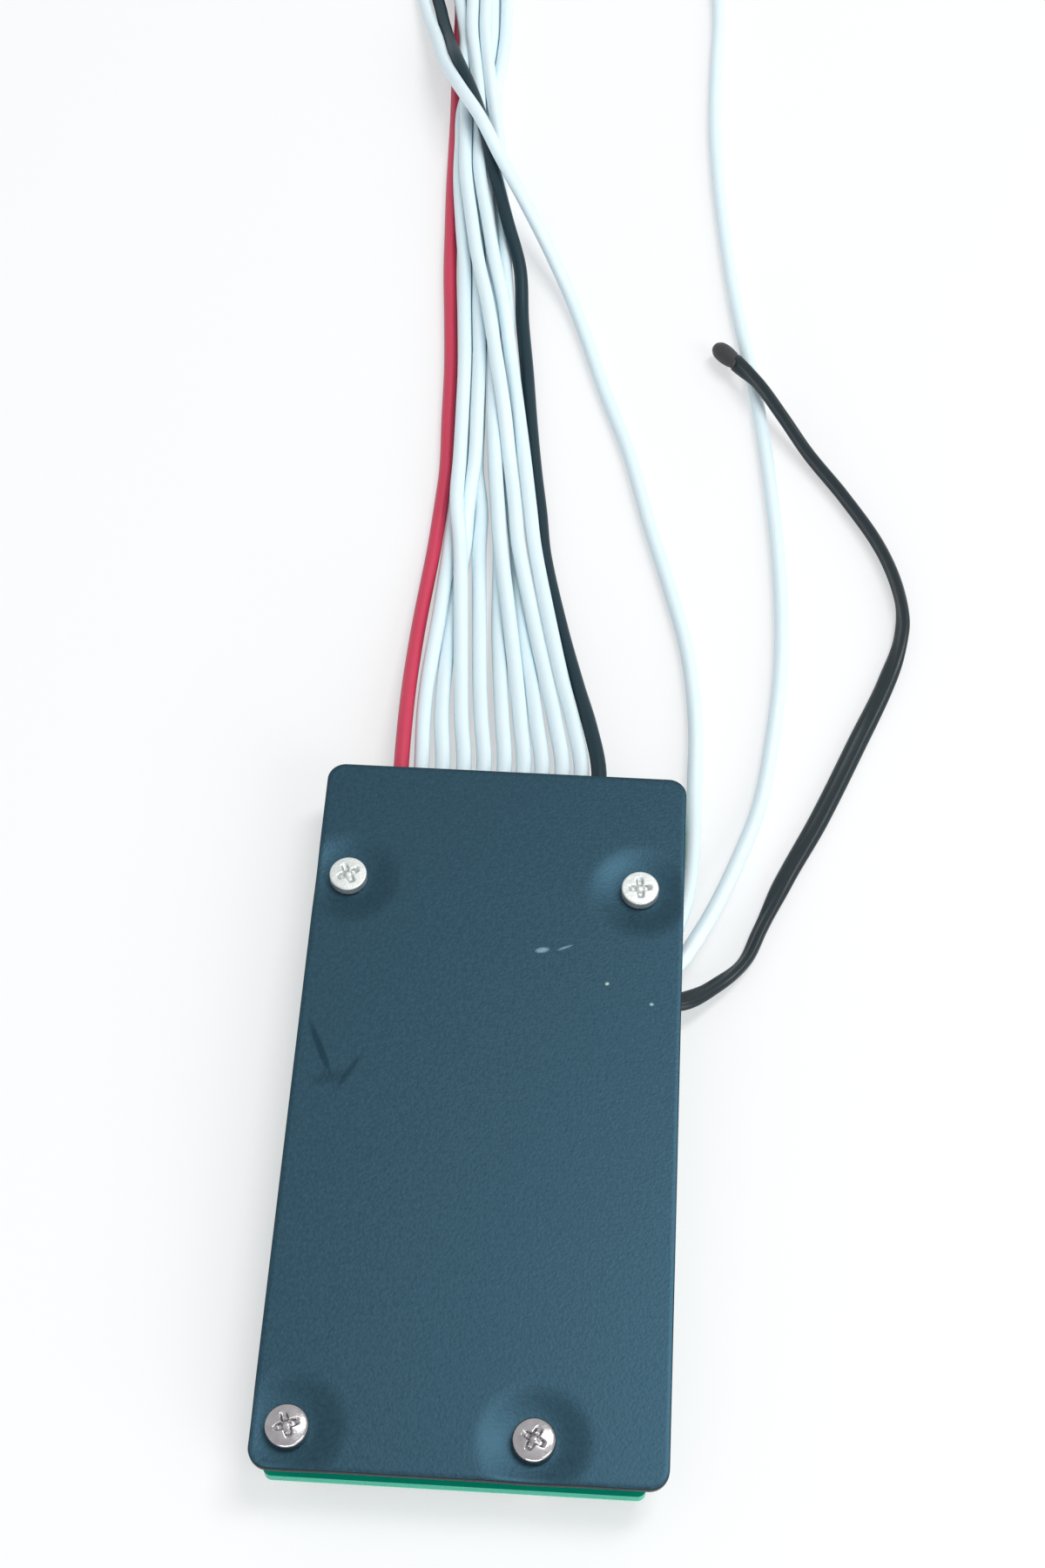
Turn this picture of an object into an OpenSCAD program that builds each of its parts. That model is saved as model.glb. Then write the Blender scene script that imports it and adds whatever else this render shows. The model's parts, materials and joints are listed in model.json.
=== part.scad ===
// Battery management board: a green circuit board under a black aluminium heat
// plate, held by four pan head screws and nuts, with its sense leads.
// Origin at the middle of the footprint, on the surface that the nuts rest on.
// +X is to the right, +Y is towards the sense leads and +Z is up.

/* [Heat plate] */
// Width of the heat plate
plate_w = 36.5; // [35:0.5:42]
// Length of the heat plate
plate_l = 71.5; // [70:0.5:90]
// Thickness of the heat plate
plate_t = 1.0; // [0.8:0.1:1.6]
// Radius of the heat plate's corners
plate_corner_r = 1.8; // [1:0.1:3]
// Depth to which each screw has pulled the sheet down
dimple_depth = 0.4; // [0.2:0.05:0.6]
// Radius of the dimple round each screw
dimple_r = 5.4; // [3.8:0.1:5.8]

/* [Circuit board] */
// How far the plate stands past the board on the left
overhang_left = 1.05; // [0.5:0.05:1.2]
// How far the plate stands past the board on the right
overhang_right = 1.85; // [1.2:0.05:2.1]
// How far the plate stands past the board at each end
overhang_end = 0.3; // [0:0.05:0.5]
// Thickness of the circuit board
pcb_t = 1.6; // [1:0.1:2]
// Radius of the circuit board's corners
pcb_corner_r = 0.8; // [0.5:0.1:2]

/* [Screws and nuts] */
// Diameter of the screw thread
screw_d = 2.0; // [1.6:0.1:2.2]
// Clearance on the diameter of each screw hole
screw_clearance = 0.2; // [0.1:0.05:0.4]
// Diameter of the upper screws' heads
head_d = 3.7; // [3.5:0.1:3.9]
// Height of the upper screws' heads
head_h = 1.15; // [1:0.05:1.5]
// Diameter of the lower screws' heads
low_head_d = 3.9; // [3.7:0.1:4.2]
// Height of the lower screws' heads
low_head_h = 1.35; // [1.2:0.05:1.8]
// Width of the cross slot's arms
slot_w = 0.55; // [0.4:0.05:0.7]
// Depth of the cross slot
slot_depth = 0.6; // [0.4:0.05:0.8]
// Width across the flats of each nut
nut_af = 4.0; // [3.6:0.1:4.4]
// Height of each nut
nut_h = 1.6; // [1.5:0.1:2]
// From the left edge of the plate to the left screws
screw_left_inset = 3.25; // [3.2:0.05:3.6]
// From the right edge of the plate to the upper right screw
screw_right_inset = 4.35; // [4.2:0.05:4.8]
// From the right edge of the plate to the lower right screw
low_screw_inset = 11.8; // [11:0.1:12]
// From the top edge of the plate to the upper screws
screw_top_inset = 13.15; // [12.6:0.05:13.6]
// From the bottom edge of the plate to the lower screws
screw_bottom_inset = 3.55; // [3:0.05:4]

/* [Power transistors] */
// Width of a transistor's body
fet_w = 6.6; // [6.2:0.1:6.8]
// Length of a transistor's body
fet_l = 6.1; // [5.6:0.1:6.4]
// Height of a transistor above the board
fet_h = 2.3; // [2.2:0.1:2.6]
// Length of a transistor's legs
fet_leg_l = 2.7; // [2:0.1:2.9]
// Spacing of the transistors across the board
fet_pitch = 7.4; // [7:0.1:7.6]
// Spacing of the two rows of transistors
fet_row_pitch = 14; // [13:0.5:15]
// Thickness of the thermal pad between transistors and plate
pad_t = 0.5; // [0.4:0.1:1]
// How far the thermal pad reaches past the transistors
pad_margin = 0.6; // [0:0.1:0.8]

/* [Power holes] */
// Diameter of the plated holes for the power wires
power_hole_d = 2.4; // [1.8:0.1:2.8]
// Room between a tinned pad and the nut beside it
power_margin = 0.6; // [0.3:0.1:1]
// Room between two tinned pads
power_gap = 1.0; // [0.6:0.1:1.6]
// Length of the tinned pad round each hole
power_pad_l = 6.4; // [5:0.1:6.6]
// Height of the tinned pads above the board
power_pad_h = 0.3; // [0.1:0.05:0.5]
// Thickness of the plating in each hole
plating_t = 0.2; // [0.1:0.05:0.3]

/* [Sense leads] */
// Outer diameter of the leads
lead_d = 1.6; // [1.3:0.05:1.6]
// Spacing of the sense leads' holes in the board
lead_pitch = 2.0; // [1.8:0.05:2.1]
// Diameter of the bare wire inside a lead
core_d = 0.8; // [0.6:0.05:0.9]
// Radius of the solder round each wire
solder_r = 0.85; // [0.6:0.05:0.88]
// Bare length at the free end of each lead
bare_l = 3; // [2:0.5:6]

/* [Sensor lead] */
// Width of the flat twin lead of the temperature sensor
twin_w = 2.1; // [1.8:0.1:2.1]
// Thickness of the flat twin lead
twin_t = 1.1; // [0.9:0.05:1.1]
// Diameter of the sensor's bead
bead_d = 2.2; // [1.8:0.1:2.4]
// Length of the sensor's bead
bead_l = 4; // [3:0.5:5]

/* [Hank and tie] */
// Bend radius of the innermost lead in the hank
hank_bend_r = 4.8; // [4.8:0.1:6]
// Straight length of each run in the hank
hank_run_l = 18; // [14:1:24]
// Width of the tie
tie_w = 2.5; // [2:0.1:4]
// Thickness of the tie
tie_t = 0.5; // [0.4:0.1:0.5]

/* [Hidden] */

// Heights, from the surface that the nuts rest on
board_z0 = nut_h;
board_z1 = board_z0 + pcb_t;
fet_top_z = board_z1 + fet_h;
plate_z0 = fet_top_z + pad_t;
plate_z1 = plate_z0 + plate_t;
seat_z = plate_z1 - dimple_depth;

// The board's edges and its middle
board_x0 = -plate_w / 2 + overhang_left;
board_x1 = plate_w / 2 - overhang_right;
board_x = (board_x0 + board_x1) / 2;
board_w = board_x1 - board_x0;
board_l = plate_l - 2 * overhang_end;
board_y1 = board_l / 2;

screw_hole_r = (screw_d + screw_clearance) / 2;
upper_y = plate_l / 2 - screw_top_inset;
lower_y = -plate_l / 2 + screw_bottom_inset;
screw_places = [
    [-plate_w / 2 + screw_left_inset, upper_y],
    [plate_w / 2 - screw_right_inset, upper_y],
    [-plate_w / 2 + screw_left_inset, lower_y],
    [plate_w / 2 - low_screw_inset, lower_y]
];

// Transistors: two rows of four, legs towards each other
fet_tab_l = 1.0;
fet_tab_t = 0.5;
fet_tab_w = fet_w - 1.3;
fet_leg_w = 0.8;
fet_leg_t = 0.5;
fet_leg_x = 2.3;
fet_lift = 0.1;
fet_draft = 0.25;
fet_per_row = 4;
fet_mid_y = -9.75;

// Power holes, spread over the room between the two lower nuts
power_room = screw_places[3][0] - screw_places[2][0] - nut_af / cos(30) - 2 * power_margin;
power_pad_w = (power_room - 2 * power_gap) / 3;
power_pitch = power_pad_w + power_gap;
power_x = (screw_places[2][0] + screw_places[3][0]) / 2;
power_y = -board_l / 2 + 4.95;
power_bore_r = power_hole_d / 2;
power_barrel_r = power_bore_r + plating_t;
power_places = [for (i = [-1:1]) [power_x + i * power_pitch, power_y]];

// The leads' points were chosen round a plate of this length, with holes at
// this spacing, a board whose top lies at this height and its right edge there
drawn_for = [71.5, 2.0, 3.2, 16.4];
lead_shift = (plate_l - drawn_for[0]) / 2;
lead_lift = board_z1 - drawn_for[2];
side_shift = board_x1 - drawn_for[3];

// Solder joints of the leads
core_r = core_d / 2;
joint_hole_r = core_r + 0.1;
solder_top_h = 0.6;
solder_low_h = 0.8;
pin_tip = 0.3;
jacket_inset = 2.45;
joint_run = 2.6;
sense_count = 11;
sense_mid_x = board_x - 0.6;
sense_jacket_y = board_y1 - jacket_inset;
sense_joint_y = sense_jacket_y - joint_run;
side_jacket_x = board_x1 - 1.8;
side_joint_x = side_jacket_x - 1.9;
twin_core_gap = twin_w / 2;
twin_solder_r = min(solder_r, 0.46 * twin_core_gap);
side_lead_y = [for (y = [16.6, 14.4]) y + lead_shift];
sensor_lead_y = 12.1 + lead_shift;

fade_points = 4;
lead_r = lead_d / 2;
lead_sides = 8;
ring_step = 4.8;

// Points along the sense leads: Y of each station, then X and Z of each lead
// there, from the red one on the left to the black one on the right
stations = [
    [33, [[-11, 4], [-9, 4], [-7, 4], [-5, 4], [-3, 4], [-1, 4],
        [1, 4], [3, 4], [5, 4], [7, 4], [9, 4]]],
    [38, [[-11.2, 4], [-9.1, 4], [-6.9, 4], [-4.7, 4], [-2.6, 4], [-0.5, 4],
        [1.5, 4], [3.4, 4], [5.5, 4], [7.5, 4], [9.3, 4]]],
    [44, [[-11.3, 3.6], [-9.4, 3.6], [-7.5, 3.6], [-5.4, 3.6], [-3.3, 3.6], [-1.1, 3.6],
        [0.8, 3.6], [2.5, 3.6], [4.5, 3.6], [6.4, 3.6], [8.1, 3.5]]],
    [50, [[-11.3, 2.6], [-9.4, 2.8], [-7.7, 2.4], [-5.9, 3], [-3.9, 2.6], [-1.7, 2.4],
        [0, 2.8], [1.6, 2.3], [3.2, 2.9], [4.9, 3], [6.5, 2.3]]],
    [58, [[-11, 1.6], [-8.9, 2.2], [-7.6, 1], [-6.5, 2.4], [-4.5, 1.8], [-2.4, 1.2],
        [-1.2, 2.5], [0.2, 1.2], [1.4, 2.4], [3.1, 2.6], [4.4, 1.4]]],
    [68, [[-10.3, 0.9], [-8.6, 0.9], [-6.9, 0.9], [-7.3, 2.5], [-5.2, 0.9], [-2.9, 0.9],
        [-2.8, 2.5], [-1, 0.9], [-0.8, 2.5], [1, 2.2], [2.1, 0.9]]],
    [74, [[-10, 0.8], [-8.4, 0.8], [-6.8, 1.9], [-8.1, 2.95], [-5.4, 0.8], [-3.5, 0.8],
        [-3.5, 2.45], [-1.8, 0.8], [-1.6, 2.45], [0.1, 2.3], [1.3, 0.9]]],
    [80, [[-9.8, 0.8], [-8.1, 0.8], [-6.5, 2.45], [-8.2, 2.6], [-6.3, 0.8], [-4.2, 0.8],
        [-4.2, 2.45], [-2.5, 0.8], [-2.5, 2.5], [-0.8, 2.4], [0.4, 0.9]]],
    [87, [[-10.1, 0.8], [-8.4, 0.8], [-6.7, 2.5], [-8.4, 2.5], [-6.6, 0.8], [-4.8, 0.8],
        [-4.8, 2.45], [-3, 0.8], [-3.6, 3.6], [-1.9, 2.4], [-0.5, 0.9]]],
    [95, [[-10.4, 0.8], [-8.7, 0.8], [-7, 2.5], [-8.7, 2.5], [-7, 0.8], [-5.3, 0.8],
        [-5.3, 2.45], [-3.6, 0.8], [-5.1, 4.1], [-3.2, 2.4], [-1.4, 0.9]]],
    [103, [[-11, 0.8], [-9.1, 0.8], [-7.6, 2.5], [-9.3, 2.45], [-7.4, 0.8], [-5.7, 0.8],
        [-5.9, 2.45], [-4.1, 1.3], [-6.6, 4.15], [-4.6, 3.6], [-2.4, 0.9]]],
    [110, [[-11.6, 0.8], [-9.5, 0.8], [-8.1, 2.45], [-9.8, 2.4], [-7.8, 0.8], [-6.1, 0.8],
        [-6.4, 2.5], [-4.8, 1.7], [-8.2, 4.1], [-6.2, 4.1], [-3.1, 2.35]]],
    [117, [[-12, 0.8], [-10.1, 0.8], [-8.95, 2.4], [-10.65, 2.4], [-8.4, 0.8], [-6.7, 0.8],
        [-7.3, 2.4], [-5.4, 1.75], [-9.45, 3.95], [-7.55, 4], [-5.1, 3.4]]],
    [125, [[-12.4, 0.8], [-10.7, 0.8], [-9.85, 2.3], [-11.5, 2.3], [-9, 0.8], [-7.3, 0.8],
        [-8.15, 2.25], [-6.4, 2.2], [-10.7, 3.8], [-9, 3.8], [-7.2, 4]]],
    [131, [[-12.6, 0.8], [-10.9, 0.8], [-10.05, 2.25], [-11.75, 2.25], [-9.2, 0.8], [-7.5, 0.8],
        [-8.35, 2.25], [-7, 3.2], [-11.1, 3.8], [-9.4, 3.75], [-8.8, 5.25]]],
    [137, [[-12.8, 0.8], [-11.1, 0.8], [-10.25, 2.25], [-11.95, 2.25], [-9.4, 0.8], [-7.75, 0.8],
        [-8.6, 2.25], [-8.1, 3.85], [-11.5, 3.95], [-9.8, 3.9], [-10.7, 5.45]]],
    [143, [[-13.1, 0.8], [-11.4, 0.8], [-9.4, 2.4], [-11, 2.4], [-9.75, 0.8], [-8.05, 0.8],
        [-7.7, 2.4], [-9, 4], [-12.3, 3.7], [-10.6, 4], [-13, 5.2]]],
    [150, [[-13.4, 0.8], [-11.7, 0.8], [-9.05, 2.3], [-10.75, 2.3], [-9.9, 0.8], [-8.2, 0.8],
        [-7.35, 2.3], [-9.9, 3.75], [-12.5, 2.5], [-11.6, 3.85], [-14.7, 2.5]]],
    [156, [[-13.6, 0.8], [-11.9, 0.8], [-9.3, 2.3], [-11, 2.3], [-10.1, 0.8], [-8.4, 0.8],
        [-7.5, 2.3], [-10.2, 3.75], [-13.5, 2.5], [-11.9, 3.75], [-16.1, 1.4]]],
    [162, [[-13.8, 0.8], [-12.1, 0.8], [-9.55, 2.3], [-11.25, 2.3], [-10.4, 0.8], [-8.7, 0.8],
        [-7.7, 2.3], [-10.4, 3.75], [-14.5, 2.35], [-12.1, 3.75], [-17, 1]]],
    [169, [[-11.35, 0.9], [-9.65, 0.9], [-7.75, 2.5], [-9.45, 2.5], [-7.95, 0.9], [-6.25, 0.9],
        [-5.95, 2.5], [-7.75, 4.1], [-11.35, 3.6], [-9.45, 4.1], [-13.55, 2.4]]],
    [176, [[-8.4, 1], [-6.7, 1], [-5.8, 2.5], [-7.5, 2.5], [-5, 1], [-3.3, 1],
        [-4.1, 2.5], [-4.9, 4.05], [-8.3, 4.05], [-6.6, 4.05], [-10.1, 3.1]]],
    [183, [[-5.75, 1.15], [-4.05, 1.15], [-3.15, 2.65], [-4.85, 2.65], [-2.35, 1.15], [-0.65, 1.15],
        [-1.45, 2.65], [-1.45, 4.2], [-4.85, 4.2], [-3.15, 4.2], [-6.7, 3.7]]],
    [190, [[-4.8, 1.3], [-3.1, 1.3], [-2.25, 2.77], [-3.95, 2.77], [-1.4, 1.3], [0.3, 1.3],
        [-0.55, 2.77], [0.3, 4.24], [-3.1, 4.24], [-1.4, 4.24], [-4.8, 4.24]]]
];
lead_colours = ["crimson", "azure", "azure", "azure", "azure", "azure",
    "azure", "azure", "azure", "azure", "darkslategray"];

// The two side leads, from the board to the hank
side_routes = [
    [[14.6, 16.6, 4], [15.6, 16.7, 4], [16.8, 18, 4], [17.8, 20.6, 3.9], [18.7, 24.4, 3.4],
     [19.2, 30, 2.4], [19.3, 38, 1.3], [19.3, 46.5, 0.9], [18.3, 55.5, 0.8], [16.3, 63.7, 0.8],
     [13.6, 73.2, 0.8], [11, 83.2, 0.8], [7.9, 92.3, 0.8], [3.8, 105, 1.2], [0.5, 112.3, 2.8],
     [-3.2, 119.3, 4.6], [-6.4, 125.3, 5.7], [-9.3, 131, 6.8], [-12.2, 136.5, 6.5], [-14.5, 142.5, 4.9],
     [-16.1, 149, 3.2], [-18, 156, 1.5], [-19, 162, 1], [-16.3, 169, 1.2], [-11.4, 176, 1.5],
     [-7.9, 182.5, 2.2], [-6.15, 186.5, 2.5], [-5.65, 190, 2.77]],
    [[14.6, 14.4, 4], [15.8, 14.5, 4], [17.8, 16, 4], [19.4, 18.7, 3.8], [21.6, 23.4, 3],
     [24.1, 30.2, 1.8], [26.2, 37, 1], [27.6, 46, 0.8], [28.4, 55, 0.8], [28.3, 66, 0.8],
     [27.3, 78.5, 0.8], [25.5, 93, 0.8], [23.3, 105.5, 0.8], [22.1, 114, 0.8], [20.8, 126, 0.8],
     [20.1, 137, 0.8], [20.1, 148, 0.8], [20.3, 158, 0.8], [19.7, 164, 0.8], [17.5, 169, 0.8],
     [14.3, 172.6, 0.9], [10.7, 175.4, 1.1], [7.1, 178, 1.4], [3.9, 181.6, 1.9], [1.8, 185.8, 2.4],
     [1.15, 190, 2.77]]
];

// The sensor's flat twin lead, then how far it is rolled on edge at each point
sensor_route = [[14.6, 12.1, 3.8], [15.8, 12.1, 3.8], [17.4, 12.3, 3.6], [18.9, 12.8, 3.1],
    [21.6, 15, 1.9], [24.6, 18.2, 1.2], [26.2, 22, 1.1], [28.7, 28, 1], [32.3, 35.5, 0.8],
    [36.5, 45.4, 0.7], [39.8, 53.4, 0.8], [41.5, 59.5, 1.1], [41.4, 64.5, 1.2], [39.4, 71, 1.2],
    [35.5, 78, 1.2], [31.5, 83.8, 1.5], [28.5, 88.4, 2.4], [25.6, 92.8, 3], [23, 96.4, 2.4]];
sensor_roll = [0, 0, 0, 10, 35, 60, 55, 20, 5, 0, 20, 55, 85, 90, 90, 90, 90, 90, 60];
bead_end = [20.6, 99.6, 1.5];

// The hank: one fold, the leads stacked four, five and four high
hank_pitch = 1.7;
hank_row_h = 1.47;
hank_lanes = 4;
hank_mid_x = -6.5;
hank_y = 190 + lead_shift;
hank_gap = hank_pitch / 2;
hank_neck_r = 20;
hank_angle = acos((hank_gap + hank_neck_r) / (hank_neck_r + hank_bend_r));
hank_neck_y = hank_y + hank_run_l;
hank_fold_y = hank_neck_y + (hank_neck_r + hank_bend_r) * sin(hank_angle);
hank_reach = hank_lanes * hank_pitch + lead_r;
hank_h = 2 * hank_row_h + lead_d;
hank_half_w = hank_gap + hank_reach;
hank_rows = [[for (k = [0.5:1:3.5]) k], [for (k = [0:1:4]) k], [for (k = [0.5:1:3.5]) k]];
tie_y = hank_y + 8;
tie_head_w = 4.4;
tie_head_l = 5;
tie_head_h = 3;

// ---- Shared shapes ----

// A rectangle with round corners, centred
module rounded_rect(w, l, r) {
    square([w - 2 * r, l], center = true);
    square([w, l - 2 * r], center = true);
    for (x = [-1, 1], y = [-1, 1])
        translate([x * (w / 2 - r), y * (l / 2 - r)]) circle(r, $fn = 48);
}

// A box centred in X and Y that stands on z
module block(w, l, h, x = 0, y = 0, z = 0) {
    translate([x - w / 2, y - l / 2, z]) cube([w, l, h]);
}

// Puts a piece that is drawn standing up under the board instead
module under_board(x, y, turn = 0) {
    translate([x, y, board_z0]) mirror([0, 0, 1]) rotate([0, 0, turn]) children();
}

// One bent leg, drawn along +X from the body at height z, to the board
module gull_leg(reach, z, w, t) {
    knee = reach * 0.45;
    rotate([90, 0, 0]) translate([0, 0, -w / 2]) linear_extrude(w)
        polygon([[0, z], [knee, z], [knee + 0.1, 0], [reach, 0], [reach, t],
            [knee + 0.1 + t, t], [knee + t, z + t], [0, z + t]]);
}

// ---- Smooth tubes along chosen points ----

function fade(i) = max(0, 1 - i / fade_points);
function slope(p, i) =
    let (a = max(i - 1, 0), b = min(i + 1, len(p) - 1),
        da = a == i ? 0 : norm(p[i] - p[a]), db = b == i ? 0 : norm(p[b] - p[i]))
    (p[b] - p[a]) / (da + db);
function bend(p, i, u) =
    let (d = norm(p[i + 1] - p[i]), m0 = slope(p, i) * d, m1 = slope(p, i + 1) * d)
    (2 * u * u * u - 3 * u * u + 1) * p[i] + (u * u * u - 2 * u * u + u) * m0
    + (3 * u * u - 2 * u * u * u) * p[i + 1] + (u * u * u - u * u) * m1;
function steps(p, i) = max(1, ceil(norm(p[i + 1] - p[i]) / ring_step - 0.2));
function smooth(p) = concat(
    [for (i = [0:len(p) - 2]) for (k = [0:steps(p, i) - 1]) bend(p, i, k / steps(p, i))],
    [p[len(p) - 1]]);
function smooth_roll(p, r) = concat(
    [for (i = [0:len(p) - 2]) for (k = [0:steps(p, i) - 1])
        r[i] + (r[i + 1] - r[i]) * k / steps(p, i)],
    [r[len(r) - 1]]);
function unit(v) = v / norm(v);
function heading(c, i) =
    i == 0 ? unit(c[1] - c[0])
    : i == len(c) - 1 ? unit(c[i] - c[i - 1])
    : unit(unit(c[i + 1] - c[i]) + unit(c[i] - c[i - 1]));

// Sweeps an oval of the given width and height along centre points c
module tube(c, w, h, roll = [], first = undef, last = undef) {
    n = len(c);
    points = [for (i = [0:n - 1])
        let (f = i == 0 && first != undef ? first : i == n - 1 && last != undef ? last : heading(c, i),
            side = unit(cross(f, [0, 0, 1])), up = cross(side, f),
            turn = len(roll) > 0 ? roll[i] : 0)
        for (k = [0:lead_sides - 1])
            let (a = 360 * (k + 0.5) / lead_sides,
                x = cos(a) * w / 2, y = sin(a) * h / 2)
            c[i] + side * (x * cos(turn) - y * sin(turn)) + up * (x * sin(turn) + y * cos(turn))];
    walls = [for (i = [0:n - 2]) for (k = [0:lead_sides - 1])
        let (j = (k + 1) % lead_sides, a = i * lead_sides, b = a + lead_sides)
        for (t = [[a + k, b + k, b + j], [a + k, b + j, a + j]]) t];
    ends = [[for (k = [0:lead_sides - 1]) k],
        [for (k = [lead_sides - 1:-1:0]) (n - 1) * lead_sides + k]];
    polyhedron(points, concat(walls, ends), convexity = 6);
}

function sense_route(k) = [for (i = [0:len(stations) - 1])
    [stations[i][1][k][0] + fade(i) * ((k - 5) * (lead_pitch - drawn_for[1]) + sense_mid_x + 1),
        stations[i][0] + lead_shift, stations[i][1][k][1] + fade(i) * lead_lift]];
function side_route(k) = [for (i = [0:len(side_routes[k]) - 1])
    side_routes[k][i] + [fade(i) * side_shift, lead_shift, fade(i) * lead_lift]];
function sensor_points() = [for (i = [0:len(sensor_route) - 1])
    sensor_route[i] + [fade(i) * side_shift, lead_shift, fade(i) * lead_lift]];

// ---- Heat plate, pad and board ----

function dip(u) = (1 + cos(180 * u)) / 2;

// The sheet's upper or lower curve round a screw, from the seat out to the rim
function dimple_curve(z) = let (seat_r = low_head_d / 2)
    [for (k = [0:3]) [seat_r + (dimple_r - seat_r) * k / 3, z - dimple_depth * dip(k / 3)]];

// The part of the sheet that a screw has pushed down
module dimple_bulge() {
    rotate_extrude($fn = 96)
        polygon(concat([[0, -dimple_depth]], dimple_curve(0), [[dimple_r, plate_t / 2], [0, plate_t / 2]]));
}

// The hollow that is left above it
module dimple_hollow() {
    rotate_extrude($fn = 96)
        polygon(concat([[0, plate_t - dimple_depth]], dimple_curve(plate_t),
            [[dimple_r, plate_t + 1], [0, plate_t + 1]]));
}

module heat_plate() {
    color("#2f4452") difference() {
        intersection() {
            union() {
                block(plate_w + 10, plate_l + 10, plate_t, z = plate_z0);
                for (p = screw_places) translate([p[0], p[1], plate_z0]) dimple_bulge();
            }
            translate([0, 0, plate_z0 - 2]) linear_extrude(plate_t + 4)
                rounded_rect(plate_w, plate_l, plate_corner_r);
        }
        for (p = screw_places) translate([p[0], p[1], plate_z0]) {
            dimple_hollow();
            translate([0, 0, -1]) cylinder(r = screw_hole_r, h = plate_t + 2, $fn = 48);
        }
    }
}

module thermal_pad() {
    w = (fet_per_row - 1) * fet_pitch + fet_w + 2 * pad_margin;
    l = fet_row_pitch + fet_l + 2 * fet_tab_l + 2 * pad_margin;
    color("lightsteelblue") translate([board_x, fet_mid_y, fet_top_z])
        linear_extrude(pad_t) rounded_rect(w, l, 0.5);
}

module circuit_board() {
    color("#00785f") translate([0, 0, board_z0]) linear_extrude(pcb_t) difference() {
        translate([board_x, 0]) rounded_rect(board_w, board_l, pcb_corner_r);
        for (p = screw_places) translate(p) circle(screw_hole_r, $fn = 48);
        for (p = power_places) translate(p) circle(power_barrel_r, $fn = 48);
        for (k = [0:sense_count - 1])
            translate([sense_joint_x(k), sense_joint_y]) circle(joint_hole_r, $fn = 32);
        for (y = side_lead_y) translate([side_joint_x, y]) circle(joint_hole_r, $fn = 32);
        for (s = [-0.5, 0.5])
            translate([side_joint_x, sensor_lead_y + s * twin_core_gap]) circle(twin_pin_r, $fn = 32);
    }
}

// ---- Screws and nuts ----

module plate_screw(i) {
    p = screw_places[i];
    d = i < 2 ? head_d : low_head_d;
    h = i < 2 ? head_h : low_head_h;
    crown_h = h * (i < 2 ? 0.1 : 0.25);
    dome_r = (pow(d / 2, 2) + pow(crown_h, 2)) / (2 * crown_h);
    color("silver") translate([p[0], p[1], 0]) difference() {
        union() {
            cylinder(d = screw_d, h = seat_z, $fn = 48);
            translate([0, 0, seat_z]) intersection() {
                cylinder(d = d, h = h, $fn = 64);
                translate([0, 0, h - dome_r]) sphere(dome_r, $fn = 96);
            }
            translate([0, 0, seat_z]) cylinder(d = d, h = h - crown_h, $fn = 64);
        }
        for (a = [0, 90]) rotate([0, 0, a + 20 * i])
            block(head_d * 0.55, slot_w, slot_depth + 1, z = seat_z + h - slot_depth);
    }
}

module hex_nut(i) {
    p = screw_places[i];
    color("silver") translate([p[0], p[1], 0]) difference() {
        cylinder(d = nut_af / cos(30), h = nut_h, $fn = 6);
        translate([0, 0, -1]) cylinder(d = screw_d, h = nut_h + 2, $fn = 48);
    }
}

// ---- Power transistors ----

module power_fet(i) {
    row = floor(i / fet_per_row);
    x = board_x + (i % fet_per_row - (fet_per_row - 1) / 2) * fet_pitch;
    y = fet_mid_y + (row == 0 ? 1 : -1) * fet_row_pitch / 2;
    color("#303236") translate([x, y, board_z1]) rotate([0, 0, row == 0 ? 0 : 180]) {
        difference() {
            block(fet_w, fet_l, fet_h - fet_lift, z = fet_lift);
            for (s = [-1, 1]) translate([s * fet_w / 2, 0, fet_h]) rotate([0, s * 12, 0])
                block(2 * fet_draft, fet_l + 1, fet_h, z = -fet_h * 0.55);
        }
        block(fet_tab_w, fet_l + 2 * fet_tab_l - 1, fet_tab_t, y = 0.5);
        for (s = [-1, 1]) translate([s * fet_leg_x, -fet_l / 2 + 0.3, 0]) rotate([0, 0, -90])
            gull_leg(fet_leg_l + 0.3, 0.5, fet_leg_w, fet_leg_t);
    }
}

// ---- Parts under the board ----

chip_w = 7;
chip_h = 1.15;
chip_leg_l = 1.0;
chip_leg_w = 0.28;
chip_leg_t = 0.15;
chip_pins = 12;
chip_place = [board_x - 3, 8.4 + lead_shift];

module monitor_chip() {
    color("#26282b") under_board(chip_place[0], chip_place[1]) {
        block(chip_w, chip_w, chip_h - 0.1, z = 0.1);
        for (side = [0:3], k = [0:chip_pins - 1]) rotate([0, 0, 90 * side])
            translate([chip_w / 2 - 0.1, (k - (chip_pins - 1) / 2) * 0.5, 0])
                gull_leg(chip_leg_l + 0.1, 0.5, chip_leg_w, chip_leg_t);
    }
}

driver_w = 3.9;
driver_l = 4.9;
driver_h = 1.4;
driver_pitch = 1.27;

module gate_driver() {
    color("#26282b") under_board(board_x + 9, 5.2 + lead_shift, 90) {
        block(driver_w, driver_l, driver_h - 0.1, z = 0.1);
        for (side = [0, 180], k = [0:3]) rotate([0, 0, side])
            translate([driver_w / 2 - 0.1, (k - 1.5) * driver_pitch, 0]) gull_leg(1.1, 0.6, 0.42, 0.2);
    }
}

shunt_w = 6.3;
shunt_l = 3.2;
shunt_h = 0.65;
shunt_y = power_y + power_pad_l / 2 + shunt_l / 2 + 2.3;

module current_shunt(i) {
    color("#3a3c3e") under_board(board_x - 1 + (i - 1) * fet_pitch, shunt_y) {
        block(shunt_w - 1.6, shunt_l, shunt_h - 0.1, z = 0.1);
        for (s = [-1, 1]) block(0.9, shunt_l, shunt_h, x = s * (shunt_w - 0.9) / 2);
    }
}

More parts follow.
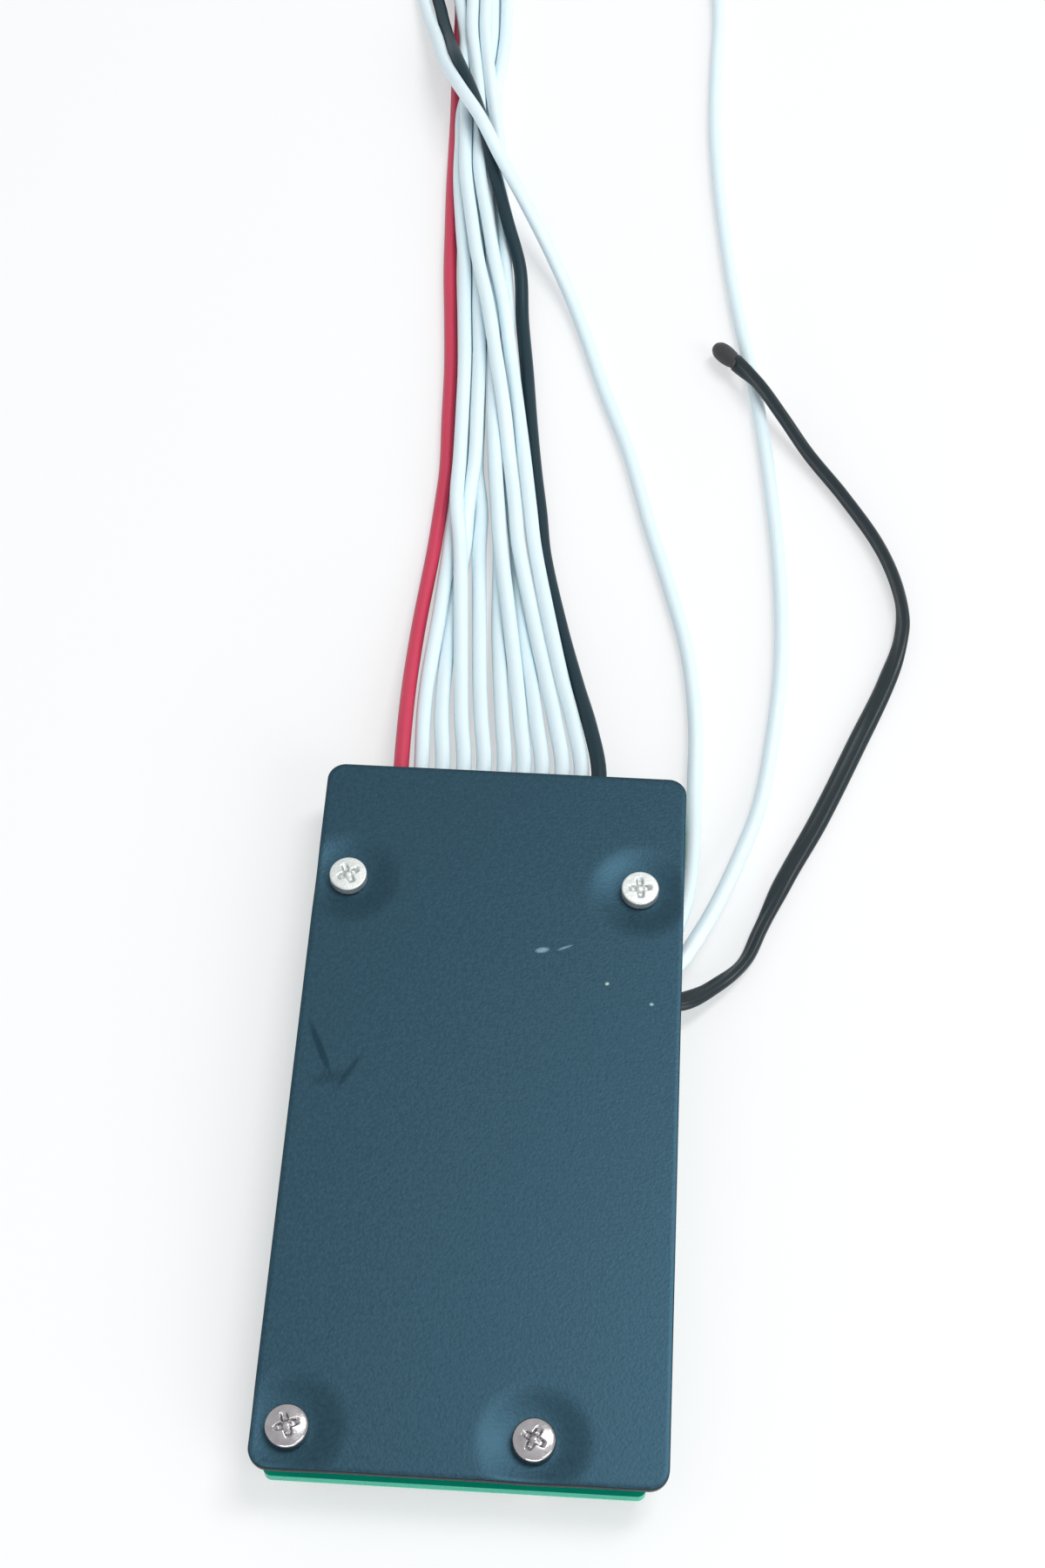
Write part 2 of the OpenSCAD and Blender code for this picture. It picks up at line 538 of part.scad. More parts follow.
balance_pitch = 2.1;
balance_count = 10;
balance_y = sense_joint_y - 4.5;

// A chip resistor or capacitor with raised end caps, its length along Y
module chip_part(w, l, h, cap = 0.4) {
    block(w - 0.04, l - 0.1, h - 0.04, z = 0.02);
    for (s = [-1, 1]) block(w, cap, h, y = s * (l - cap) / 2);
}

module balance_resistors() {
    color("#2c2c30") for (k = [0:balance_count - 1])
        under_board(board_x + (k - (balance_count - 1) / 2) * balance_pitch, balance_y) chip_part(1.6, 3.2, 0.6);
}

// A small three-legged transistor, its length along X
module small_transistor() {
    block(2.9, 1.3, 0.95, z = 0.1);
    translate([0, 0.55, 0]) rotate([0, 0, 90]) gull_leg(0.65, 0.45, 0.42, 0.15);
    for (s = [-0.95, 0.95]) translate([s, -0.55, 0]) rotate([0, 0, -90]) gull_leg(0.65, 0.45, 0.42, 0.15);
}

module balance_transistors() {
    color("#26282b") for (row = [0, 1], k = [0:balance_count / 2 - 1])
        under_board(board_x + (k - 2) * 2 * balance_pitch, balance_y - 4.3 - 3.6 * row) small_transistor();
}

small_resistor_places = concat(
    [for (k = [0:7]) [board_x - 8.4 + k * 2.2, balance_y - 10.8]],
    [for (k = [0:4]) [board_x - 10.6, balance_y - 13.5 - k * 2]],
    [for (k = [0:3]) [board_x + 12.8, balance_y - 18.5 - k * 2]]
);

module small_resistors() {
    color("#2c2c30") for (p = small_resistor_places) under_board(p[0], p[1], 90) chip_part(0.8, 1.6, 0.45, 0.3);
}

capacitor_places = concat(
    [for (k = [0:3]) [board_x + 3.6, balance_y - 13.9 - k * 2.2]],
    [for (k = [0:2]) [board_x - 13.2, balance_y - 13.9 - k * 2.4]]
);

module capacitors() {
    color("#8a6f52") for (p = capacitor_places) under_board(p[0], p[1], 90) chip_part(1.25, 2, 1.1, 0.45);
}

diode_places = [for (k = [0:3]) [board_x - 12.6, balance_y - 24.5 - k * 2.8]];

module diodes() {
    color("#26282b") for (p = diode_places) under_board(p[0], p[1]) {
        block(2.7, 1.6, 1, z = 0.1);
        for (s = [0, 180]) rotate([0, 0, s]) translate([1.3, 0, 0]) gull_leg(0.6, 0.4, 0.6, 0.15);
    }
}

// ---- Solder: pads, bars and joints ----

module power_pads() {
    color("lightgray") for (p = power_places) translate([p[0], p[1], 0]) difference() {
        union() {
            for (z = [board_z0 - power_pad_h, board_z1])
                translate([0, 0, z]) linear_extrude(power_pad_h) rounded_rect(power_pad_w, power_pad_l, 0.5);
            translate([0, 0, board_z0]) cylinder(r = power_barrel_r, h = pcb_t, $fn = 48);
        }
        translate([0, 0, board_z0 - 1]) cylinder(r = power_bore_r, h = pcb_t + 2, $fn = 48);
    }
}

bar_h = 0.35;
bar_l = (fet_per_row - 1) * fet_pitch + fet_w - 8;

module solder_bars() {
    color("lightgray") for (y = [fet_mid_y - 6.9, fet_mid_y - 3.4, fet_mid_y + 0.1])
        translate([board_x + 1, y, board_z0 - bar_h]) linear_extrude(bar_h) rounded_rect(bar_l, 2, 0.9);
}

function sense_joint_x(k) = sense_mid_x + (k - (sense_count - 1) / 2) * lead_pitch;
twin_pin_r = 0.25;

// A wire that comes in level from +Y, turns down through the board and is soldered
module joint(run, r, pin, cone) {
    low = board_z0 - solder_low_h - pin_tip;
    wire_z = board_z1 + r;
    translate([0, 0, low]) cylinder(r = pin, h = wire_z - low, $fn = 32);
    translate([0, 0, wire_z]) sphere(pin, $fn = 32);
    translate([0, 0, wire_z]) rotate([-90, 0, 0]) cylinder(r = pin, h = run, $fn = 32);
    translate([0, 0, board_z1]) cylinder(r1 = cone, r2 = pin, h = solder_top_h, $fn = 32);
    translate([0, 0, board_z0 - solder_low_h]) cylinder(r1 = pin, r2 = cone, h = solder_low_h, $fn = 32);
}

module sense_joints() {
    color("lightgray") for (k = [0:sense_count - 1]) translate([sense_joint_x(k), sense_joint_y, 0]) {
        joint(joint_run, lead_r, core_r, solder_r);
        translate([0, 0, board_z0]) cylinder(r = joint_hole_r, h = pcb_t, $fn = 32);
    }
}

module side_joints() {
    color("lightgray") {
        for (y = side_lead_y) translate([side_joint_x, y, 0]) {
            rotate([0, 0, -90]) joint(side_jacket_x - side_joint_x, lead_r, core_r, solder_r);
            translate([0, 0, board_z0]) cylinder(r = joint_hole_r, h = pcb_t, $fn = 32);
        }
        for (s = [-0.5, 0.5]) translate([side_joint_x, sensor_lead_y + s * twin_core_gap, 0])
            rotate([0, 0, -90]) joint(side_jacket_x - side_joint_x, twin_t / 2, twin_pin_r, twin_solder_r);
    }
}

// ---- Leads, hank and tie ----

module sense_lead(k) {
    color(lead_colours[k]) tube(smooth(sense_route(k)), lead_d, lead_d, first = [0, 1, 0], last = [0, 1, 0]);
}

module side_lead(k) {
    color("azure") tube(smooth(side_route(k)), lead_d, lead_d, first = [1, 0, 0], last = [0, 1, 0]);
}

module sensor_lead() {
    c = sensor_points();
    color("#24303a") tube(smooth(c), twin_w, twin_t, smooth_roll(c, sensor_roll), first = [1, 0, 0]);
}

module sensor_bead() {
    a = sensor_points()[len(sensor_route) - 1];
    b = bead_end + [0, lead_shift, 0];
    axis = unit(b - a);
    turn = atan2(axis[1], axis[0]);
    color("#1c2126") translate(a + 0.08 * axis) rotate([0, acos(axis[2]), turn]) rotate_extrude($fn = 48)
        polygon([[0, 0], [bead_d * 0.32, 0], [bead_d * 0.44, bead_l * 0.2], [bead_d / 2, bead_l * 0.45],
            [bead_d * 0.48, bead_l * 0.75], [bead_d * 0.34, bead_l * 0.94], [0, bead_l]]);
}

// The outline of the folded leads, seen from above
module hank_outline() {
    fold_r = hank_bend_r + hank_reach;
    half_neck = fold_r * cos(hank_angle);
    neck_x = hank_gap + hank_neck_r;
    translate([-hank_half_w, 0]) square([2 * hank_half_w, hank_run_l]);
    translate([0, hank_run_l]) difference() {
        translate([-half_neck, 0]) square([2 * half_neck, hank_fold_y - hank_neck_y]);
        for (s = [-1, 1]) translate([s * neck_x, 0]) circle(hank_neck_r - hank_reach, $fn = 96);
    }
    translate([0, hank_fold_y - hank_y]) circle(fold_r, $fn = 96);
}

module lead_hank() {
    color("azure") translate([hank_mid_x, hank_y, tie_t]) linear_extrude(hank_h) hank_outline();
}

module hank_tie() {
    color("#202020") translate([hank_mid_x, tie_y, 0]) {
        translate([0, tie_w / 2, tie_t + hank_h / 2]) rotate([90, 0, 0]) linear_extrude(tie_w) difference() {
            square([2 * (hank_half_w + tie_t), hank_h + 2 * tie_t], center = true);
            square([2 * hank_half_w, hank_h], center = true);
        }
        block(tie_head_w, tie_head_l, tie_head_h, z = hank_h + 2 * tie_t);
    }
}

module bare_ends() {
    color("silver") for (row = [0:2]) for (k = hank_rows[row])
        translate([hank_mid_x - hank_gap - k * hank_pitch, hank_y, tie_t + lead_r + row * hank_row_h])
            rotate([90, 0, 0]) cylinder(r = core_r, h = bare_l, $fn = 24);
}

// ---- The part ----

heat_plate();
thermal_pad();
circuit_board();
for (i = [0:3]) plate_screw(i);
for (i = [0:3]) hex_nut(i);
for (i = [0:7]) power_fet(i);
monitor_chip();
gate_driver();
for (i = [0:2]) current_shunt(i);
balance_resistors();
balance_transistors();
small_resistors();
capacitors();
diodes();
power_pads();
solder_bars();
sense_joints();
side_joints();
for (i = [0:10]) sense_lead(i);
for (i = [0:1]) side_lead(i);
sensor_lead();
sensor_bead();
lead_hank();
hank_tie();
bare_ends();
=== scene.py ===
import json
import math

import bmesh
import bpy
from mathutils import Matrix, Vector


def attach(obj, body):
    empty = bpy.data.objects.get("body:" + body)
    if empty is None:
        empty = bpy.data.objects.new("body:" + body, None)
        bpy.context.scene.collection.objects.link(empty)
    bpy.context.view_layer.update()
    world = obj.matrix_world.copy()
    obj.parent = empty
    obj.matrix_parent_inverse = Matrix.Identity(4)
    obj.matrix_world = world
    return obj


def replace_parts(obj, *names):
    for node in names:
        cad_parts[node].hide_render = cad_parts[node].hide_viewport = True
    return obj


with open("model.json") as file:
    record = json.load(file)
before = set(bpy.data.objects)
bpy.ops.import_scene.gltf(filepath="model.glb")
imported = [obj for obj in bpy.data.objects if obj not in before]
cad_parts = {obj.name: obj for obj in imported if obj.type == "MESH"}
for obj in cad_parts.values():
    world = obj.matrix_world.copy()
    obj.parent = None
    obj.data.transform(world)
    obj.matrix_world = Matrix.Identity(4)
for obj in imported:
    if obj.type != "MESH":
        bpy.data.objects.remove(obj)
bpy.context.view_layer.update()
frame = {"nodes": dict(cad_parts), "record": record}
MM = 0.001

# ---------------------------------------------------------------- camera

camera_data = bpy.data.cameras.new("camera")
camera_data.lens = 53.0
camera_data.sensor_width = 36.0
camera_data.clip_start = 0.005
camera_data.clip_end = 20
camera = bpy.data.objects.new("camera", camera_data)
bpy.context.scene.collection.objects.link(camera)
bpy.context.scene.camera = camera
CAMERA_PLACE = (0.0090, -0.0884, 0.2066)
CAMERA_LOOK = (-0.0316, 0.5235, -0.8514)
CAMERA_UP = (-0.0485, 0.8501, 0.5244)
look = Vector(CAMERA_LOOK).normalized()
right = look.cross(Vector(CAMERA_UP)).normalized()
up = right.cross(look)
camera.matrix_world = Matrix(
    (
        (right.x, up.x, -look.x, CAMERA_PLACE[0]),
        (right.y, up.y, -look.y, CAMERA_PLACE[1]),
        (right.z, up.z, -look.z, CAMERA_PLACE[2]),
        (0, 0, 0, 1),
    )
)

# ---------------------------------------------------------------- materials


def node_set(material):
    return material.node_tree.nodes, material.node_tree.links


def of_kind(nodes, kind):
    """The first shader node of a kind."""
    return next(n for n in nodes if n.bl_idname == kind)


def math_node(nodes, operation, second=None):
    node = nodes.new("ShaderNodeMath")
    node.operation = operation
    if second is not None:
        node.inputs[1].default_value = second
    return node


def blend(nodes, links, factor, colour, tone):
    """Mixes a plain tone into a colour socket by the factor socket."""
    mix = nodes.new("ShaderNodeMix")
    mix.data_type = "RGBA"
    mix.inputs["B"].default_value = (*tone, 1)
    links.new(factor, mix.inputs["Factor"])
    links.new(colour, mix.inputs["A"])
    return mix.outputs["Result"]


def finish_material(
    name,
    colour,
    rough=0.5,
    metal=0.0,
    colour_noise=0.06,
    noise_scale=900.0,
    bump=0.0,
    bump_scale=3000.0,
    rough_noise=0.06,
    **sockets,
):
    """A principled material whose colour, roughness and surface all vary a little."""
    material = bpy.data.materials.new(name)
    material.use_nodes = True
    nodes, links = node_set(material)
    shader = nodes["Principled BSDF"]
    shader.inputs["Metallic"].default_value = metal
    for key, value in sockets.items():
        shader.inputs[key.replace("_", " ")].default_value = value
    place = nodes.new("ShaderNodeTexCoord")
    noise = nodes.new("ShaderNodeTexNoise")
    noise.inputs["Scale"].default_value = noise_scale
    noise.inputs["Detail"].default_value = 4
    links.new(place.outputs["Object"], noise.inputs["Vector"])
    tint = nodes.new("ShaderNodeMix")
    tint.data_type = "RGBA"
    low = [max(0, c * (1 - colour_noise)) for c in colour]
    high = [min(1, c * (1 + colour_noise)) for c in colour]
    tint.inputs["A"].default_value = (*low, 1)
    tint.inputs["B"].default_value = (*high, 1)
    links.new(noise.outputs["Fac"], tint.inputs["Factor"])
    links.new(tint.outputs["Result"], shader.inputs["Base Color"])
    spread = nodes.new("ShaderNodeMapRange")
    spread.inputs["To Min"].default_value = max(0, rough - rough_noise)
    spread.inputs["To Max"].default_value = min(1, rough + rough_noise)
    links.new(noise.outputs["Fac"], spread.inputs["Value"])
    links.new(spread.outputs["Result"], shader.inputs["Roughness"])
    if bump:
        grain = nodes.new("ShaderNodeTexNoise")
        grain.inputs["Scale"].default_value = bump_scale
        grain.inputs["Detail"].default_value = 3
        links.new(place.outputs["Object"], grain.inputs["Vector"])
        relief = nodes.new("ShaderNodeBump")
        relief.inputs["Strength"].default_value = 1.0
        relief.inputs["Distance"].default_value = bump
        links.new(grain.outputs["Fac"], relief.inputs["Height"])
        links.new(relief.outputs["Normal"], shader.inputs["Normal"])
    return material


def spot(nodes, links, place, x, y, length, width, angle, edge=0.5):
    """1 inside an ellipse on the plate, 0 outside, in millimetres and degrees."""
    shift = nodes.new("ShaderNodeMapping")
    shift.vector_type = "TEXTURE"
    shift.inputs["Location"].default_value = (x * MM, y * MM, 7 * MM)
    shift.inputs["Rotation"].default_value = (0, 0, math.radians(angle))
    shift.inputs["Scale"].default_value = (length * MM / 2, width * MM / 2, 3 * MM)
    links.new(place.outputs["Object"], shift.inputs["Vector"])
    ball = nodes.new("ShaderNodeTexGradient")
    ball.gradient_type = "SPHERICAL"
    links.new(shift.outputs["Vector"], ball.inputs["Vector"])
    sharpen = nodes.new("ShaderNodeMapRange")
    sharpen.inputs["From Max"].default_value = edge
    links.new(ball.outputs["Fac"], sharpen.inputs["Value"])
    return sharpen.outputs["Result"]


# painted shade: the colour laid on the plate's upright sides, darker than its face for the shade
# they stand in
PLATE_SIDE_SHADE = (0.006, 0.012, 0.016)
PLATE_MARKS = [
    # x, y, length, width, angle, colour, strength
    (-15.9, 3.9, 7.4, 0.9, 115, (0.012, 0.03, 0.045), 0.8),
    (-12.95, 1.6, 5.2, 0.8, 61, (0.012, 0.03, 0.045), 0.65),
    (-14.6, 0.9, 4.5, 1.6, 15, (0.015, 0.035, 0.05), 0.5),
    (4.6, 15.5, 1.6, 0.7, 12, (0.3, 0.45, 0.52), 0.4),
    (6.8, 15.9, 1.9, 0.3, 24, (0.3, 0.45, 0.52), 0.3),
    (11.05, 12.2, 0.5, 0.4, 20, (0.5, 0.65, 0.5), 0.5),
    (15.4, 10.25, 0.5, 0.4, 0, (0.4, 0.6, 0.65), 0.4),
]


def side_mask(nodes, links):
    """1 on upright faces, 0 on level ones."""
    facing = nodes.new("ShaderNodeNewGeometry")
    split = nodes.new("ShaderNodeSeparateXYZ")
    links.new(facing.outputs["True Normal"], split.inputs["Vector"])
    size = math_node(nodes, "ABSOLUTE")
    links.new(split.outputs["Z"], size.inputs[0])
    side = math_node(nodes, "LESS_THAN", 0.5)
    links.new(size.outputs["Value"], side.inputs[0])
    return side.outputs["Value"]


def plate_material():
    """Dark blue-black anodising with a few scuffs on the face, and painted shade darkening its
    upright cut sides.
    """
    material = finish_material(
        "black_anodised", (0.025, 0.058, 0.083), rough=0.44, metal=1.0,
        colour_noise=0.3, noise_scale=2600, bump=0.00002, bump_scale=3600,
    )
    nodes, links = node_set(material)
    shader = nodes["Principled BSDF"]
    place = of_kind(nodes, "ShaderNodeTexCoord")
    colour = shader.inputs["Base Color"].links[0].from_socket
    for x, y, length, width, angle, tone, strength in PLATE_MARKS:
        mask = spot(nodes, links, place, x, y, length, width, angle)
        scale = math_node(nodes, "MULTIPLY", strength)
        links.new(mask, scale.inputs[0])
        colour = blend(nodes, links, scale.outputs["Value"], colour, tone)
    # painted shade on the plate's upright sides
    colour = blend(nodes, links, side_mask(nodes, links), colour, PLATE_SIDE_SHADE)
    links.new(colour, shader.inputs["Base Color"])
    return material


# the pale line along the board's cut sides fades in between these heights, in millimetres
PALE_TOP, PALE_FULL = 1.9, 1.75
PALE_EDGE = (0.42, 0.72, 0.6)


def board_material():
    """Green solder mask, with pale glass fibre at the low edge of the cut sides."""
    material = finish_material(
        "green_board", (0.0, 0.34, 0.205), rough=0.28, colour_noise=0.08,
        noise_scale=700, bump=0.000008, bump_scale=2500,
    )
    nodes, links = node_set(material)
    shader = nodes["Principled BSDF"]
    mask_colour = shader.inputs["Base Color"].links[0].from_socket
    place = of_kind(nodes, "ShaderNodeTexCoord")
    split = nodes.new("ShaderNodeSeparateXYZ")
    links.new(place.outputs["Object"], split.inputs["Vector"])
    low = nodes.new("ShaderNodeMapRange")
    low.inputs["From Min"].default_value = PALE_TOP * MM
    low.inputs["From Max"].default_value = PALE_FULL * MM
    links.new(split.outputs["Z"], low.inputs["Value"])
    pale = math_node(nodes, "MULTIPLY")
    links.new(low.outputs["Result"], pale.inputs[0])
    links.new(side_mask(nodes, links), pale.inputs[1])
    colour = blend(nodes, links, pale.outputs["Value"], mask_colour, PALE_EDGE)
    links.new(colour, shader.inputs["Base Color"])
    return material


M = {
    "black_anodised": plate_material(),
    "green_board": board_material(),
    "thermal_rubber": finish_material("thermal_rubber", (0.45, 0.52, 0.6), 0.75, bump=0.00002),
    "nickel": finish_material(
        "nickel", (0.54, 0.57, 0.57), 0.36, 1.0, colour_noise=0.12, noise_scale=1500,
        bump=0.00001, bump_scale=3500,
    ),
    "nickel_dull": finish_material(
        "nickel_dull", (0.53, 0.56, 0.55), 0.48, 1.0, colour_noise=0.14, noise_scale=1300,
        bump=0.00003, bump_scale=2400,
    ),
    "nickel_worn": finish_material(
        "nickel_worn", (0.34, 0.33, 0.34), 0.24, 1.0, colour_noise=0.3, noise_scale=1100,
        bump=0.00003, bump_scale=1600,
    ),
    "black_epoxy": finish_material("black_epoxy", (0.022, 0.023, 0.026), 0.5, bump=0.00001),
    "resistor_black": finish_material("resistor_black", (0.02, 0.021, 0.024), 0.4),
    "tan_ceramic": finish_material("tan_ceramic", (0.33, 0.2, 0.1), 0.5),
    "solder": finish_material(
        "solder", (0.66, 0.66, 0.66), 0.28, 1.0, colour_noise=0.1, noise_scale=1200,
        bump=0.00003, bump_scale=1200,
    ),
    "gold": finish_material("gold", (0.75, 0.6, 0.32), 0.35, 1.0),
    "ink": finish_material("ink", (0.75, 0.78, 0.75), 0.6),
    "trace": finish_material("trace", (0.02, 0.34, 0.24), 0.28),
    "white_silicone": finish_material(
        "white_silicone", (0.80, 0.94, 1.0), 0.42, colour_noise=0.02, noise_scale=250,
        bump=0.000012, bump_scale=1500, Subsurface_Weight=0.12, Subsurface_Scale=0.0006,
    ),
    "red_silicone": finish_material(
        "red_silicone", (0.60, 0.035, 0.09), 0.42, colour_noise=0.05, noise_scale=250,
        bump=0.000012, bump_scale=1500, Subsurface_Weight=0.08, Subsurface_Scale=0.0005,
    ),
    "black_silicone": finish_material(
        "black_silicone", (0.006, 0.026, 0.038), 0.42, colour_noise=0.1, noise_scale=250,
        bump=0.000012, bump_scale=1500, Specular_IOR_Level=0.25,
    ),
    "black_vinyl": finish_material(
        "black_vinyl", (0.006, 0.016, 0.022), 0.33, bump=0.000015, bump_scale=900,
        Specular_IOR_Level=0.35,
    ),
    "black_nylon": finish_material(
        "black_nylon", (0.015, 0.015, 0.016), 0.4, bump=0.00002, bump_scale=900,
    ),
    "floor": finish_material("floor", (0.93, 0.94, 0.95), 0.7, colour_noise=0.004, noise_scale=3),
}


def lift_floor(material, share=0.5):
    """Camera rays see part of the floor as plain white, so that its shadows stay light."""
    nodes, links = node_set(material)
    shader = nodes["Principled BSDF"]
    output = of_kind(nodes, "ShaderNodeOutputMaterial")
    glow = nodes.new("ShaderNodeEmission")
    rays = nodes.new("ShaderNodeLightPath")
    scale = math_node(nodes, "MULTIPLY", share)
    mix = nodes.new("ShaderNodeMixShader")
    links.new(rays.outputs["Is Camera Ray"], scale.inputs[0])
    links.new(scale.outputs["Value"], mix.inputs["Fac"])
    links.new(shader.outputs["BSDF"], mix.inputs[1])
    links.new(glow.outputs["Emission"], mix.inputs[2])
    links.new(mix.outputs["Shader"], output.inputs["Surface"])


lift_floor(M["floor"])
for name, node in frame["nodes"].items():
    subparts = frame["record"]["subparts"]
    slot_name = next(p["material_slot"] for p in subparts if p["node"] == name)
    node.data.materials.clear()
    node.data.materials.append(M[slot_name])

# ---------------------------------------------------------------- mesh helpers


def add_mesh(name, points, faces, materials, face_slots=None, smooth=False):
    """A mesh from points in millimetres, riding on the only body."""
    mesh = bpy.data.meshes.new(name)
    mesh.from_pydata([(x * MM, y * MM, z * MM) for x, y, z in points], [], faces)
    for material in materials:
        mesh.materials.append(M[material])
    if face_slots:
        mesh.polygons.foreach_set("material_index", face_slots)
    if smooth:
        mesh.polygons.foreach_set("use_smooth", [True] * len(mesh.polygons))
    mesh.validate()
    mesh.update()
    obj = bpy.data.objects.new(name, mesh)
    bpy.context.scene.collection.objects.link(obj)
    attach(obj, "root")
    return obj


def soften(obj, width=0.06, segments=2):
    bevel = obj.modifiers.new("bevel", "BEVEL")
    bevel.width = width * MM
    bevel.segments = segments
    bevel.limit_method = "ANGLE"
    bevel.harden_normals = False


def ring_faces(rings, n):
    """Quads between rings of n points each, one ring after another."""
    return [
        (i * n + k, i * n + (k + 1) % n, (i + 1) * n + (k + 1) % n, (i + 1) * n + k)
        for i in range(rings - 1) for k in range(n)
    ]


class Builder:
    """Collects simple solids, in millimetres, into one mesh with several materials."""

    def __init__(self):
        self.points, self.faces, self.slots = [], [], []

    def add(self, points, faces, slot=0, turn=0, at=(0, 0, 0), under=False):
        """under mirrors the solid in Z first, so that it hangs below at."""
        base = len(self.points)
        c, s = math.cos(math.radians(turn)), math.sin(math.radians(turn))
        for x, y, z in points:
            x, y = x * c - y * s, x * s + y * c
            self.points.append((x + at[0], y + at[1], (-z if under else z) + at[2]))
        for face in faces:
            face = [base + i for i in face]
            self.faces.append(face[::-1] if under else face)
            self.slots.append(slot)

    def box(self, w, l, h, x=0, y=0, z=0, slot=0, top=1.0, **place):
        """A box that stands on z, its top face scaled by top."""
        points = [
            (x + sx * w / 2 * k, y + sy * l / 2 * k, z + dz)
            for dz, k in ((0, 1), (h, top))
            for sx, sy in ((-1, -1), (1, -1), (1, 1), (-1, 1))
        ]
        faces = [(3, 2, 1, 0), (4, 5, 6, 7)]
        faces += [(k, (k + 1) % 4, 4 + (k + 1) % 4, 4 + k) for k in range(4)]
        self.add(points, faces, slot, **place)

    def leg(self, x0, y0, reach, z, w, t, out=0, slot=0, **place):
        """A gull leg from (x0, y0) along direction out, in degrees."""
        knee = reach * 0.45
        line = [(0, z), (knee, z), (knee + 0.1, 0), (reach, 0), (reach, t),
                (knee + 0.1 + t, t), (knee + t, z + t), (0, z + t)]
        c, s = math.cos(math.radians(out)), math.sin(math.radians(out))
        points = [
            (x0 + u * c - v * s, y0 + u * s + v * c, h)
            for v in (-w / 2, w / 2) for u, h in line
        ]
        n = len(line)
        faces = [(i, (i + 1) % n, n + (i + 1) % n, n + i) for i in range(n)]
        faces += [(7, 6, 1, 0), (6, 5, 2, 1), (5, 4, 3, 2)]
        faces += [(8, 9, 14, 15), (9, 10, 13, 14), (10, 11, 12, 13)]
        self.add(points, faces, slot, **place)

    def lathe(self, profile, slot=0, sides=24, **place):
        """Spins (radius, height) pairs about Z."""
        n = len(profile)
        points = [
            (r * math.cos(2 * math.pi * k / sides), r * math.sin(2 * math.pi * k / sides), z)
            for k in range(sides) for r, z in profile
        ]
        faces = [
            (k * n + i, (k + 1) % sides * n + i, (k + 1) % sides * n + i + 1, k * n + i + 1)
            for k in range(sides) for i in range(n - 1)
        ]
        self.add(points, faces, slot, **place)

    def tube(self, line, r, slot=0, sides=12, **place):
        """A round tube along a line in the YZ plane, closed at both ends."""
        points = []
        for i, (y, z) in enumerate(line):
            (ya, za), (yb, zb) = line[max(i - 1, 0)], line[min(i + 1, len(line) - 1)]
            length = math.hypot(yb - ya, zb - za)
            ny, nz = -(zb - za) / length, (yb - ya) / length
            for k in range(sides):
                a = 2 * math.pi * k / sides
                out = r * math.sin(a)
                points.append((-r * math.cos(a), y + ny * out, z + nz * out))
        faces = ring_faces(len(line), sides)
        end = (len(line) - 1) * sides
        faces += [tuple(range(sides))[::-1], tuple(end + k for k in range(sides))]
        self.add(points, faces, slot, **place)

    def ribbon(self, route, width, slot, height=0.02):
        """A thin flat track under the board along a route of (x, y) points."""
        for (xa, ya), (xb, yb) in zip(route, route[1:]):
            length = math.hypot(xb - xa, yb - ya)
            turn = math.degrees(math.atan2(yb - ya, xb - xa))
            self.box(length + width * 0.9, width, height, slot=slot,
                     **hang((xa + xb) / 2, (ya + yb) / 2, turn))

    def build(self, name, materials, smooth=False):
        return add_mesh(name, self.points, self.faces, materials, self.slots, smooth)


# ---------------------------------------------------------------- leads: routes

